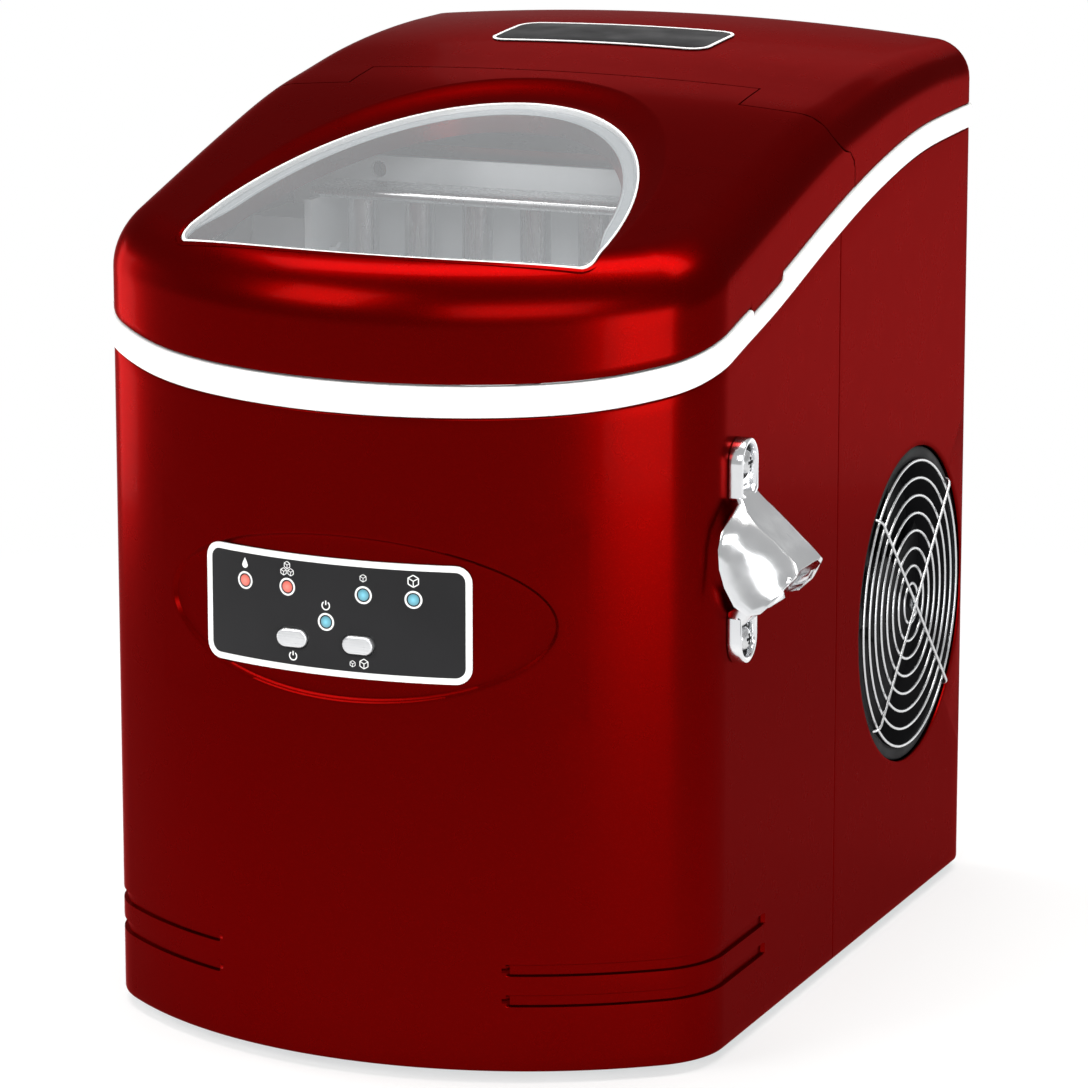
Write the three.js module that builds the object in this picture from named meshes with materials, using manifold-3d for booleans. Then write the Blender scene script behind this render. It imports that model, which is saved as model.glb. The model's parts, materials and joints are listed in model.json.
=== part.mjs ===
// Countertop ice maker: a red casing with a white band that sweeps up its sides, a hinged lid
// with a window over the ice chamber, a control panel, a bottle opener and a fan guard.
// Millimetres. +X is the right-hand side seen from the front, the front faces -Y, +Z is up.

import * as THREE from "three";
import { mergeVertices } from "three/addons/utils/BufferGeometryUtils.js";
import Module from "manifold-3d";

const wasm = await Module();
wasm.setup();

// Casing
const WIDTH = 241; // across the side walls
const DEPTH = 349; // from the front bulge to the back wall
const WALL = 2.5; // moulded casing wall
const FRONT_RADIUS = 169; // bowed front, seen from above
const FRONT_CORNER = 35.7;
const REAR_CORNER = 14;
const FOOT_HEIGHT = 4; // casing's lower edge above the table
const LID_FRONT_HEIGHT = 46.5; // white band's lower edge at the front, below the top's edge
const TRIM_RISE = 64; // climb of that edge from front to back
const TRIM_WIDTH_FRONT = 11.5;
const TRIM_WIDTH_REAR = 9.3;
const TRIM_PROUD = 1.2; // band stands out from the walls
const TRIM_NOTCH = 3; // finger notch in the band's upper edge
const TOP_FRONT_HEIGHT = 290.5; // top surface along the side walls, at the front
const TOP_RISE = 52.5;
const CROWN = 5.6; // how much higher the top is on the centre line
const CROWN_HALF_WIDTH = 112;
const EDGE_ROUND_FRONT = 20; // rounding between the walls and the top
const EDGE_ROUND_REAR = 12;
const CLEAR = 0.3; // gap between pieces that touch
const SEAM = 0.6; // visible gap round the lid
const OVERRUN = 6; // cutters run this far past what they cut
const OVERLAP = 0.4; // joined solids reach this far into each other

// Lid and its hinge
const HINGE_DEPTH = 8.2; // hinge axis below the top surface on the centre line
const SEAM_LEAD_LENGTH = 12.5; // lid's rear edge on top, beside the tab, this far before the axis
const SEAM_TRAIL_LENGTH = 5.5; // lid's rear edge on the side walls, this far behind the axis
const SEAM_SWEEP_RADIUS = 14; // that edge passes this far below the axis
const SEAM_CORNER_HEIGHT = 5;
const TAB_INSET = 40.5; // hinge tab's sides inside the side walls
const TAB_RADIUS = 12.2; // rear end of the hinge tab, about the hinge axis
const PIN_RADIUS = 2.5;
const LUG_RADIUS = 6;
const LUG_WIDTH = 8;
const LUG_INSET = 6; // lug's outer face inside the tab's edge
const EAR_WIDTH = 5;
const EAR_OFFSET = 2; // ear's inner face outside the tab's edge

// Window in the lid
const WINDOW_INSET = 39.5; // window's widest corners inside the side walls
const WINDOW_CORNER_RADIUS = 7;
const WINDOW_SINK = 4; // lens lies this far below the top at the rear tip
const DISH_WIDTH = 17; // sloped rim behind the window, at the rear tip
const LENS_THICKNESS = 2;
const GASKET_THICKNESS = 1;
const LEDGE_WIDTH = 12; // ledge that carries the lens
const LEDGE_THICKNESS = 2;
const FLANGE_DROP = 6; // red lip that hangs from the ledge
const FLANGE_THICKNESS = 2.2;

// Control panel on the front
const PANEL_X = -7.5;
const PANEL_Z = 170;
const PANEL_WIDTH = 107;
const PANEL_HEIGHT = 43.5;
const PANEL_BORDER = 3;
const PANEL_CORNER = 6;
const DISH_PANEL_WIDTH = 154;
const DISH_PANEL_HEIGHT = 62;
const DISH_PANEL_DEPTH = 1.4;
const DISH_PANEL_X = -2;
const BUTTON_WIDTH = 12;
const BUTTON_HEIGHT = 6.8;
const BUTTON_PROUD = 1.6;
const BUTTON_TRAVEL = 1.2;
const LED_RADIUS = 2.4;
const BOARD_THICKNESS = 1.6;
const BOARD_SETBACK = 24.5; // control board behind the casing's front bulge
const BOARD_MARGIN = 10; // control board runs past the panel on each side
const SWITCH_HEIGHT = 4;
const FACE_DEPTH = 3.5; // panel face's back, behind the casing's front

// Grooves round the lower front corners
const GROOVE_HEIGHT = 4;
const GROOVE_DEPTH = 1.4;
const GROOVE_LOW_Z = 31;
const GROOVE_PITCH = 11.5;
const GROOVE_END_INSET = 63.5; // inner ends of the grooves, from the side walls

// Bottle opener on the right-hand wall
const OPENER_DEPTH = 86.4; // lower screw below the band's lower edge at the front
const OPENER_SPACING = 65.3; // between the screws
const OPENER_LUG_RADIUS = 9;
const OPENER_LUG_THICKNESS = 5;
const OPENER_REACH = 29;
const HOOD_WALL = 3;
const HOOD_HALF_WIDTH = 22;
const NECK_HALF_WIDTH = 8;
const SCREW_RADIUS = 2;
const SCREW_HEAD_RADIUS = 4.6;
const SCREW_HEAD_HEIGHT = 2.4;
const SCREW_LENGTH = 13;

// Fan opening on the right-hand wall
const FAN_Z = 126.5;
const GUARD_RINGS = 8;
const GUARD_FIRST_RADIUS = 8;
const GUARD_WIRE = 0.9; // wire radius
const DUCT_RIM_WIDTH = 5.8; // duct's bore inside the hole in the wall
const DUCT_DEPTH = 32;
const FAN_TIP_GAP = 4;
const FAN_HUB_RADIUS = 18;
const FAN_BLADES = 7;
const FAN_BLADE_WIDTH = 9; // along the shaft
const MOTOR_RADIUS = 15;
const MOTOR_LENGTH = 12;
const SHAFT_RADIUS = 1.6;

// Intake slots on the left-hand wall
const SLOT_COUNT = 8;
const SLOT_WIDTH = 4;
const SLOT_LENGTH = 70;
const SLOT_Z = 130;

// Ice chamber liner and water reservoir
const TUB_GAP = 10; // between the liner and the side walls
const TUB_FRONT_CORNER = 36;
const TUB_REAR_CORNER = 10;
const TUB_FLOOR_Z = 24;
const TUB_WALL = 2.2;
const BULKHEAD_MARGIN = 12; // bulkhead's top above the evaporator plate's underside
const LEDGE_DEPTH = 76; // basket ledges in the liner, below the band's lower edge at the front
const LEDGE_REACH = 18;

// Ice tray, evaporator and ice pusher
const TRAY_DEPTH = 16.5; // tray's axis below the top's edge at the front
const TRAY_WALL = 1.6;
const TRAY_END_GAP = 6; // tray's ends inside the frame's
const TRAY_SPAN_DEG = 150; // arc of the trough
const TRAY_PIN_RADIUS = 3;
const FINGER_COUNT = 6;
const FINGER_RADIUS = 6;
const FINGER_LENGTH = 36;
const PLATE_HEIGHT = 24; // plate's underside above the tray's axis
const PLATE_THICKNESS = 4;
const TUBE_RADIUS = 3;
const TUBE_END_GAP = 8; // evaporator tube's bends inside the tray's ends
const MOTOR_ROOM_WIDTH = 32; // room for the tray motor between the frame and the liner
const FRAME_WALL = 3;
const FRAME_FLOOR_DEPTH = 39.5; // frame's floor below the tray's axis
const PUSHER_HEIGHT = 14;
const PUSHER_GAP = 1.1; // between the pusher at rest and the frame's back
const MOTOR_BOX_WIDTH = 22; // tray motor, along the tray's axis
const MOTOR_BOSS_LENGTH = 4.4;

// Basket
const BASKET_GAP = 12; // between the basket and the liner
const BASKET_HEIGHT = 66;
const BASKET_WALL = 2;
const BASKET_FRONT_CORNER = 30;
const BASKET_SLOTS = 5;

// Refrigeration parts behind the chamber
const CAN_GAP = 29; // compressor can from the left wall's inner face
const CAN_HEIGHT = 118;
const GROMMET_RADIUS = 8;
const GROMMET_HEIGHT = 8;
const CONDENSER_GAP = 60; // condenser's inner face from the right wall's inner face
const CONDENSER_THICKNESS = 22;
const CONDENSER_HEIGHT = 116;
const FIN_COUNT = 10;
const PASS_COUNT = 2; // flat tubes that run through the fins
const PASS_WIDTH = 16;
const FIN_THICKNESS = 1;

// Power board on the left wall
const POWER_BOARD_Z = 222;
const BOARD_LEG_RADIUS = 3;
const POWER_BOARD_HEIGHT = 60;
const POWER_BOARD_SPACER = 5;
const TRANSFORMER_HEIGHT = 22;

// Base, drain and cord outlet
const PAN_THICKNESS = 3;
const PAN_RIM = 14;
const FOOT_RADIUS = 10;
const FOOT_INSET = 36.5;
const DRAIN_Z = 36;
const DRAIN_RADIUS = 5;
const DRAIN_CAP_RADIUS = 11;
const DRAIN_CAP_THICKNESS = 3;
const GLAND_INSET = 36.5;
const GLAND_Z = 34;
const GLAND_RADIUS = 7;
const GLAND_LENGTH = 5;

// Badge plate on top
const BADGE_X = -4.5;
const BADGE_WIDTH = 92;
const BADGE_DEPTH = 40;
const BADGE_CORNER = 8;
const BADGE_PROUD = 0.8;

// Water pump on the reservoir floor
const PUMP_GAP = 38; // pump's axis from the liner's right side
const PUMP_RADIUS = 14;
const PUMP_HEIGHT = 28;

// Places along the depth as shares of it from the middle, front negative
const PLACE_shares = {
  bodySeam: 0.0292, notchFront: -0.2493, notchBack: -0.149, hinge: 0.0559,
  windowFront: -0.4499, windowCorner: -0.3954, windowRear: 0, grooveEnd: -0.1891,
  opener: -0.2865, fan: 0.2851, tubFront: -0.4097, tubRear: -0.0115,
  tray: -0.0774, frameFront: -0.2178, frameArm: -0.1261,
  basketFront: -0.3897, basketRear: -0.235, can: 0.2808, footFront: -0.3381,
  footRear: 0.4298, drain: -0.063, badge: 0.265, pump: -0.1261,
};
// Sizes along the depth as shares of it
const SIZE_shares = {
  fanHole: 0.1799, tray: 0.0487, plate: 0.0745, can: 0.1289, condenser: 0.3381,
  slotPitch: 0.0315, powerBoard: 0.2292,
};
const PITCH_shares = { finger: 0.1715, basketSlot: 0.125 }; // of the tray's and basket's length

// Outlines as shares: [share of the depth from the middle, share of the rise]
const TRIM_shares = [
  [-0.52, 0], [-0.43, 0.06], [-0.321, 0.235], [-0.175, 0.42], [0, 0.676],
  [0.143, 0.853], [0.287, 0.97], [0.43, 1], [0.52, 1],
];
const TOP_shares = [
  [-0.52, -0.03], [-0.43, 0.097], [-0.367, 0.194], [-0.287, 0.33], [-0.115, 0.612],
  [0.011, 0.796], [0.097, 0.874], [0.215, 0.961], [0.358, 1], [0.52, 0.99],
];
const SPINE_shares = [0.5, 1];

// Fan blade from hub to tip: share of the way out, of the pitch, and half its breadth
const BLADE_shares = [[0, 0.8, 0.245], [0.514, 0.62, 0.358], [1, 0.5, 0.453]];

// Status lights: name, place as shares of half the panel's width and height, colour
const LIGHT_shares = [
  ["light_pipe_add_water", -0.664, 0.423, "redLight"],
  ["light_pipe_ice_full", -0.318, 0.423, "redLight"],
  ["light_pipe_power", -0.021, -0.092, "blueLight"],
  ["light_pipe_small", 0.256, 0.423, "blueLight"],
  ["light_pipe_large", 0.607, 0.405, "blueLight"],
];
const BUTTON_shares = [["on_off_button", -0.277, -0.428], ["select_button", 0.219, -0.428]];

// Turns a geometry into a solid: one surface with shared corners and no empty faces.
function solid(geometry) {
  const bare = new THREE.BufferGeometry();
  const flat = geometry.index ? geometry.toNonIndexed() : geometry;
  bare.setAttribute("position", flat.getAttribute("position"));
  const merged = mergeVertices(bare, 1e-4);
  const index = merged.index.array;
  const kept = [];
  for (let i = 0; i < index.length; i += 3) {
    const [a, b, c] = [index[i], index[i + 1], index[i + 2]];
    if (a !== b && b !== c && c !== a) kept.push(a, b, c);
  }
  return new wasm.Manifold(
    new wasm.Mesh({
      numProp: 3,
      vertProperties: new Float32Array(merged.attributes.position.array),
      triVerts: new Uint32Array(kept),
    }),
  );
}

// Gives the solid back as a geometry with shared corners.
function geometryOf(body) {
  const mesh = body.getMesh();
  const corners = new Float32Array(mesh.numVert * 3);
  for (let i = 0; i < mesh.numVert; i++)
    corners.set(mesh.vertProperties.subarray(i * mesh.numProp, i * mesh.numProp + 3), i * 3);
  return new THREE.BufferGeometry()
    .setAttribute("position", new THREE.BufferAttribute(corners, 3))
    .setIndex(new THREE.BufferAttribute(mesh.triVerts, 1));
}

function join(...bodies) {
  return bodies.reduce((a, b) => a.add(b));
}

function cut(body, ...tools) {
  return tools.reduce((a, b) => a.subtract(b), body);
}

// Solid between low and high along one axis. The shape is drawn in (y, z) for X, (x, z) for Y
// and (x, y) for Z.
const FRAMES = {
  X: [new THREE.Vector3(0, 1, 0), new THREE.Vector3(0, 0, 1), new THREE.Vector3(1, 0, 0)],
  Y: [new THREE.Vector3(1, 0, 0), new THREE.Vector3(0, 0, 1), new THREE.Vector3(0, -1, 0)],
  Z: [new THREE.Vector3(1, 0, 0), new THREE.Vector3(0, 1, 0), new THREE.Vector3(0, 0, 1)],
};
function along(axis, shape, low, high, curveSegments = 2) {
  const geometry = new THREE.ExtrudeGeometry(shape, {
    depth: high - low,
    bevelEnabled: false,
    curveSegments,
  });
  const [right, up, out] = FRAMES[axis];
  geometry.translate(0, 0, axis === "Y" ? -high : low);
  geometry.applyMatrix4(new THREE.Matrix4().makeBasis(right, up, out));
  return solid(geometry);
}

function box(x0, x1, y0, y1, z0, z1) {
  const geometry = new THREE.BoxGeometry(x1 - x0, y1 - y0, z1 - z0);
  geometry.translate((x0 + x1) / 2, (y0 + y1) / 2, (z0 + z1) / 2);
  return solid(geometry);
}

// Round bar between two points.
function rod(from, to, radius, sides = 16) {
  const start = new THREE.Vector3(...from);
  const end = new THREE.Vector3(...to);
  const run = end.clone().sub(start);
  const geometry = new THREE.CylinderGeometry(radius, radius, run.length(), sides);
  const turn = new THREE.Quaternion().setFromUnitVectors(
    new THREE.Vector3(0, 1, 0), run.clone().normalize());
  geometry.applyQuaternion(turn);
  const middle = start.add(end).multiplyScalar(0.5);
  geometry.translate(middle.x, middle.y, middle.z);
  return solid(geometry);
}

// Tube of round section along a smooth path.
function tube(points, radius, steps, sides = 6) {
  const path = new THREE.CatmullRomCurve3(points.map((p) => new THREE.Vector3(...p)));
  path.curveType = "centripetal";
  const section = circle(0, 0, radius, sides);
  return solid(new THREE.ExtrudeGeometry(section, { steps, extrudePath: path }));
}

// Turned piece: profile of [radius, distance along the axis], turned about a line through at.
function turned(axis, at, profile, sides = 24) {
  const geometry = new THREE.LatheGeometry(
    profile.map(([r, h]) => new THREE.Vector2(r, h)), sides);
  if (axis === "X") geometry.rotateZ(-Math.PI / 2);
  if (axis === "Z") geometry.rotateX(Math.PI / 2);
  geometry.translate(...at);
  return solid(geometry);
}

function polygon(points) {
  return new THREE.Shape(points.map(([a, b]) => new THREE.Vector2(a, b)));
}

function circle(a, b, radius, sides = 32) {
  const points = [];
  for (let i = 0; i < sides; i++) {
    const t = (i / sides) * 2 * Math.PI;
    points.push([a + radius * Math.cos(t), b + radius * Math.sin(t)]);
  }
  return polygon(points);
}

function rounded(a0, a1, b0, b1, radius) {
  const shape = new THREE.Shape();
  shape.absarc(a1 - radius, b0 + radius, radius, -Math.PI / 2, 0);
  shape.absarc(a1 - radius, b1 - radius, radius, 0, Math.PI / 2);
  shape.absarc(a0 + radius, b1 - radius, radius, Math.PI / 2, Math.PI);
  shape.absarc(a0 + radius, b0 + radius, radius, Math.PI, 1.5 * Math.PI);
  return shape;
}

// Closed skin over rings of points, each ring counter-clockwise seen from the far end.
function loft(rings, caps = { start: true, end: true }) {
  const count = rings[0].length;
  const triangles = [];
  const face = (a, b, c) => triangles.push(...a, ...b, ...c);
  for (let i = 0; i + 1 < rings.length; i++)
    for (let j = 0; j < count; j++) {
      const k = (j + 1) % count;
      face(rings[i][j], rings[i][k], rings[i + 1][k]);
      face(rings[i][j], rings[i + 1][k], rings[i + 1][j]);
    }
  const middle = (ring) => [0, 1, 2].map((n) => ring.reduce((s, p) => s + p[n], 0) / count);
  const cap = (ring, back) => {
    const centre = middle(ring);
    for (let j = 0; j < count; j++) {
      const k = (j + 1) % count;
      if (back) face(centre, ring[k], ring[j]);
      else face(centre, ring[j], ring[k]);
    }
  };
  if (caps.start) cap(rings[0], true);
  if (caps.end) cap(rings[rings.length - 1], false);
  return solid(new THREE.BufferGeometry()
    .setAttribute("position", new THREE.BufferAttribute(new Float32Array(triangles), 3)));
}

// Height as a smooth function of y through points given as shares.
function smoothLine(shares, base, rise) {
  const points = shares.map(([a, b]) => [a * DEPTH, base + b * rise]);
  const last = points.length - 1;
  const slopes = points.map((_, i) => {
    const [a, b] = [points[Math.max(i - 1, 0)], points[Math.min(i + 1, last)]];
    return (b[1] - a[1]) / (b[0] - a[0]);
  });
  return (y) => {
    let i = 0;
    while (i < last - 1 && y > points[i + 1][0]) i++;
    const [[y0, z0], [y1, z1]] = [points[i], points[i + 1]];
    const h = y1 - y0;
    const t = Math.min(Math.max((y - y0) / h, 0), 1);
    const [t2, t3] = [t * t, t * t * t];
    return (2 * t3 - 3 * t2 + 1) * z0 + (t3 - 2 * t2 + t) * h * slopes[i] +
      (3 * t2 - 2 * t3) * z1 + (t3 - t2) * h * slopes[i + 1];
  };
}

const trimFrontHeight = TOP_FRONT_HEIGHT - LID_FRONT_HEIGHT;
const trimLow = smoothLine(TRIM_shares, trimFrontHeight, TRIM_RISE);
const topLine = smoothLine(TOP_shares, TOP_FRONT_HEIGHT, TOP_RISE);
const alongDepth = (y) => Math.min(Math.max(y / DEPTH + 1 / 2, 0), 1);
const blend = (a, b, t) => a + (b - a) * t;
const trimTop = (y) => trimLow(y) + blend(TRIM_WIDTH_FRONT, TRIM_WIDTH_REAR, alongDepth(y));
const edgeRound = (y) => blend(EDGE_ROUND_FRONT, EDGE_ROUND_REAR, alongDepth(y));
const topHeight = (x, y) => topLine(y) + CROWN * (1 - (x / CROWN_HALF_WIDTH) ** 2);

// Casing outline from above
const FRONT_Y = -DEPTH / 2;
const backY = DEPTH / 2;
const sideX = WIDTH / 2;
const place = (name) => DEPTH * PLACE_shares[name];
const sized = (name) => DEPTH * SIZE_shares[name];

// Places and sizes that follow from the casing
const bodySeamY = place("bodySeam"); // joint between the front and rear shells
const hingeY = place("hinge");
const hingeZ = topHeight(0, hingeY) - HINGE_DEPTH;
const seamTopY = hingeY - SEAM_LEAD_LENGTH;
const seamSideY = hingeY + SEAM_TRAIL_LENGTH;
const tabHalfWidth = sideX - TAB_INSET;
const windowHalfWidth = sideX - WINDOW_INSET;
const windowFrontY = place("windowFront");
const windowCornerY = place("windowCorner");
const windowRearY = place("windowRear");
const grooveEndX = sideX - GROOVE_END_INSET;
const grooveEndY = place("grooveEnd");
const openerY = place("opener");
const openerLowZ = trimFrontHeight - OPENER_DEPTH;
const fanY = place("fan");
const fanHoleRadius = sized("fanHole");
const ductRadius = fanHoleRadius - DUCT_RIM_WIDTH;
const fanTipRadius = ductRadius - FAN_TIP_GAP;
const guardPitch = (ductRadius - GUARD_FIRST_RADIUS) / (GUARD_RINGS - 1);
const panelBoardY = FRONT_Y + BOARD_SETBACK;
const tubHalfWidth = sideX - WALL - TUB_GAP;
const tubFrontY = place("tubFront");
const tubRearY = place("tubRear");
const ledgeZ = trimFrontHeight - LEDGE_DEPTH;
const trayY = place("tray");
const trayZ = TOP_FRONT_HEIGHT - TRAY_DEPTH;
const plateZ = trayZ + PLATE_HEIGHT;
const frameFloorZ = trayZ - FRAME_FLOOR_DEPTH;
const bulkheadTopZ = plateZ + BULKHEAD_MARGIN;
const trayRadius = sized("tray");
const frameHalfWidth = tubHalfWidth - MOTOR_ROOM_WIDTH;
const trayHalfLength = frameHalfWidth - TRAY_END_GAP;
const basketHalfWidth = tubHalfWidth - BASKET_GAP;
const basketFrontY = place("basketFront");
const basketRearY = place("basketRear");
const canRadius = sized("can");
const CAN_X = -sideX + WALL + CAN_GAP + canRadius;
const canY = place("can");
const condenserInner = sideX - WALL - CONDENSER_GAP;
const condenserWidth = sized("condenser");
const footX = sideX - FOOT_INSET;
const drainY = place("drain");
const GLAND_X = -sideX + GLAND_INSET;
const frontCentreY = FRONT_Y + FRONT_RADIUS;
const cornerX = sideX - FRONT_CORNER;
const cornerY = frontCentreY - Math.sqrt((FRONT_RADIUS - FRONT_CORNER) ** 2 - cornerX ** 2);
const cornerTurn = Math.atan2(cornerX, frontCentreY - cornerY);
const topZ = TOP_FRONT_HEIGHT + TOP_RISE + CROWN;

// Points of the outline, front centre first and counter-clockwise, each with its outward normal.
function outline(sideSteps = 1, arcSteps = 6) {
  const half = [];
  const arc = (cx, cy, radius, from, to, steps) => {
    for (let i = 0; i < steps; i++) {
      const a = from + ((to - from) * i) / steps;
      const [nx, ny] = [Math.sin(a), -Math.cos(a)];
      half.push({ x: cx + radius * nx, y: cy + radius * ny, nx, ny });
    }
  };
  const straight = (x0, y0, x1, y1, nx, ny, steps) => {
    for (let i = 0; i < steps; i++)
      half.push({ x: blend(x0, x1, i / steps), y: blend(y0, y1, i / steps), nx, ny });
  };
  const rearX = sideX - REAR_CORNER;
  const rearY = backY - REAR_CORNER;
  arc(0, frontCentreY, FRONT_RADIUS, 0, cornerTurn, arcSteps);
  arc(cornerX, cornerY, FRONT_CORNER, cornerTurn, Math.PI / 2, arcSteps - 1);
  straight(sideX, cornerY, sideX, rearY, 1, 0, sideSteps);
  arc(rearX, rearY, REAR_CORNER, Math.PI / 2, Math.PI, arcSteps / 2);
  straight(rearX, backY, 0, backY, 0, 1, sideSteps > 1 ? 2 : 1);
  half.push({ x: 0, y: backY, nx: 0, ny: 1 });
  const other = half.slice(1, -1).reverse().map((p) => ({ ...p, x: -p.x, nx: -p.nx }));
  return [...half, ...other];
}

function planShape(inset) {
  return polygon(outline().map((p) => [p.x - p.nx * inset, p.y - p.ny * inset]));
}

function prism(inset, low, high) {
  return along("Z", planShape(inset), low, high);
}

// Everything under the crowned top with its rounded edge, moved inwards by inset. Hidden inner
// faces are plainer than the outer one.
function envelope(inset, floor) {
  const base = inset > 0 ? outline(6, 4) : outline(9);
  const roundSteps = inset > 0 ? 2 : 3;
  const rings = [base.map((p) => [p.x - p.nx * inset, p.y - p.ny * inset, floor])];
  for (let i = 0; i <= roundSteps; i++) {
    const a = ((i / roundSteps) * Math.PI) / 2;
    rings.push(base.map((p) => {
      const radius = edgeRound(p.y) - inset;
      const depth = inset + radius * (1 - Math.cos(a));
      const [x, y] = [p.x - p.nx * depth, p.y - p.ny * depth];
      return [x, y, topHeight(x, y) - inset - radius * (1 - Math.sin(a))];
    }));
  }
  const rim = rings[rings.length - 1];
  for (const share of SPINE_shares)
    rings.push(rim.map(([x, y]) => {
      const inner = x * (1 - share);
      return [inner, y, topHeight(inner, y) - inset];
    }));
  const skin = rings.map((ring) => ring.map((p) => [...p]));
  return loft(skin, { start: true, end: false });
}

// Slab right across the casing, between two heights given as functions of y.
function sweepSlab(low, high, y0 = FRONT_Y - OVERRUN, y1 = backY + OVERRUN) {
  const steps = Math.ceil((24 * (y1 - y0)) / DEPTH);
  const ys = [...Array(steps + 1).keys()].map((i) => blend(y0, y1, i / steps));
  const points = [...ys.map((y) => [y, low(y)]), ...ys.reverse().map((y) => [y, high(y)])];
  return along("X", polygon(points), -sideX - OVERRUN, sideX + OVERRUN);
}

const aboveAll = () => topZ + OVERRUN;
const belowAll = () => FOOT_HEIGHT - OVERRUN;

// y of the front wall at x, moved inwards by inset
const frontY = (x, inset = 0) =>
  frontCentreY - Math.sqrt((FRONT_RADIUS - inset) ** 2 - x ** 2);

const materials = {
  red: [0x8c0a06, 0.25, 0.1],
  white: [0xf4f4f2, 0.4, 0],
  liner: [0xe6e8ea, 0.5, 0],
  lens: [0xdfe8ee, 0.1, 0],
  black: [0x141414, 0.45, 0],
  rubber: [0x1c1c1c, 0.9, 0],
  chrome: [0xd8d8d8, 0.12, 1],
  steel: [0xb4b6b8, 0.35, 1],
  copper: [0xb87346, 0.35, 1],
  aluminium: [0xc4c8cc, 0.4, 1],
  board: [0x1f5a34, 0.6, 0],
  redLight: [0xe05048, 0.3, 0],
  blueLight: [0x4e93a8, 0.3, 0],
  grey: [0x9a9c9e, 0.6, 0],
};
const part = new THREE.Group();
const whole = new THREE.Group();
whole.add(part);

function add(name, body, look) {
  const [color, roughness, metalness] = materials[look];
  const material = new THREE.MeshStandardMaterial({ color, roughness, metalness });
  const mesh = new THREE.Mesh(geometryOf(body), material);
  mesh.name = name;
  part.add(mesh);
}

// Base pan with an upturned rim that the shells close round, and four rubber feet
const panTop = FOOT_HEIGHT + PAN_THICKNESS;
const wallInner = -sideX + WALL; // inner face of the left wall
const panInset = WALL + CLEAR;
add("base_pan", cut(
  prism(panInset, FOOT_HEIGHT, FOOT_HEIGHT + PAN_RIM),
  prism(panInset + TUB_WALL, panTop, FOOT_HEIGHT + PAN_RIM + OVERRUN),
), "steel");

for (const [name, x, y] of [
  ["foot_front_left", -footX, place("footFront")],
  ["foot_front_right", footX, place("footFront")],
  ["foot_rear_left", -footX, place("footRear")],
  ["foot_rear_right", footX, place("footRear")],
])
  add(name, turned("Z", [x, y, 0], [
    [0, 0], [FOOT_RADIUS * 0.85, 0], [FOOT_RADIUS, FOOT_HEIGHT / 2], [FOOT_RADIUS, FOOT_HEIGHT],
    [0, FOOT_HEIGHT],
  ], 12), "rubber");

// Shell walls, front and rear
const wallRing = cut(
  prism(0, FOOT_HEIGHT, topZ),
  prism(WALL, FOOT_HEIGHT - OVERRUN, topZ + OVERRUN),
);
const underTrim = sweepSlab(belowAll, (y) => trimLow(y));
const wide = sideX + OVERRUN;
const frontHalf = box(-wide, wide, FRONT_Y - OVERRUN, bodySeamY - CLEAR / 2, belowAll(), topZ);
const rearHalf = box(-wide, wide, bodySeamY + CLEAR / 2, backY + OVERRUN, belowAll(), topZ);

function panelBlock(width, height, radius) {
  const shape = rounded(PANEL_X - width / 2, PANEL_X + width / 2,
    PANEL_Z - height / 2, PANEL_Z + height / 2, radius);
  return along("Y", shape, FRONT_Y - OVERRUN, cornerY);
}

// Material between two insets of the front wall
function frontSkin(outer, inner) {
  return cut(
    prism(outer, PANEL_Z - DISH_PANEL_HEIGHT, PANEL_Z + DISH_PANEL_HEIGHT),
    prism(inner, PANEL_Z - 2 * DISH_PANEL_HEIGHT, PANEL_Z + 2 * DISH_PANEL_HEIGHT),
  );
}

const faceWidth = PANEL_WIDTH - 2 * PANEL_BORDER;
const faceHeight = PANEL_HEIGHT - 2 * PANEL_BORDER;
const faceCorner = PANEL_CORNER - PANEL_BORDER;
const dishShape = new THREE.Shape();
dishShape.absellipse(DISH_PANEL_X, PANEL_Z, DISH_PANEL_WIDTH / 2, DISH_PANEL_HEIGHT / 2,
  0, 2 * Math.PI);
const dish = cut(
  along("Y", dishShape, FRONT_Y - OVERRUN, cornerY, 13),
  prism(DISH_PANEL_DEPTH, PANEL_Z - DISH_PANEL_HEIGHT, PANEL_Z + DISH_PANEL_HEIGHT),
);

// One groove round both lower corners, open on the front between its ends
function groove(z) {
  const band = cut(
    prism(-OVERRUN, z - GROOVE_HEIGHT / 2, z + GROOVE_HEIGHT / 2),
    prism(GROOVE_DEPTH, z - GROOVE_HEIGHT, z + GROOVE_HEIGHT),
  );
  return cut(
    band,
    box(-grooveEndX, grooveEndX, FRONT_Y - 2 * OVERRUN, 0, z - GROOVE_HEIGHT, z + GROOVE_HEIGHT),
    box(-wide - OVERRUN, wide + OVERRUN, grooveEndY, backY + 2 * OVERRUN,
      z - GROOVE_HEIGHT, z + GROOVE_HEIGHT),
  );
}

const standoffX = [PANEL_X - faceWidth / 2 - BOARD_MARGIN / 2, PANEL_X + faceWidth / 2 + BOARD_MARGIN / 2];
const standoffZ = [PANEL_Z - faceHeight / 4, PANEL_Z + faceHeight / 4];
const standoffs = standoffX.flatMap((x) => standoffZ.map((z) =>
  rod([x, frontY(x, WALL) - OVERLAP, z], [x, panelBoardY - CLEAR, z], BOARD_LEG_RADIUS, 6)));

const openerHighZ = openerLowZ + OPENER_SPACING;
const screwHoles = [openerLowZ, openerHighZ].map((z) =>
  rod([sideX - WALL - OVERRUN, openerY, z], [sideX + OVERRUN, openerY, z],
    SCREW_RADIUS + CLEAR, 10));
const drainHole = rod([-sideX - OVERRUN, drainY, DRAIN_Z],
  [-sideX + WALL + OVERRUN, drainY, DRAIN_Z], DRAIN_RADIUS + CLEAR, 12);

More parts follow.
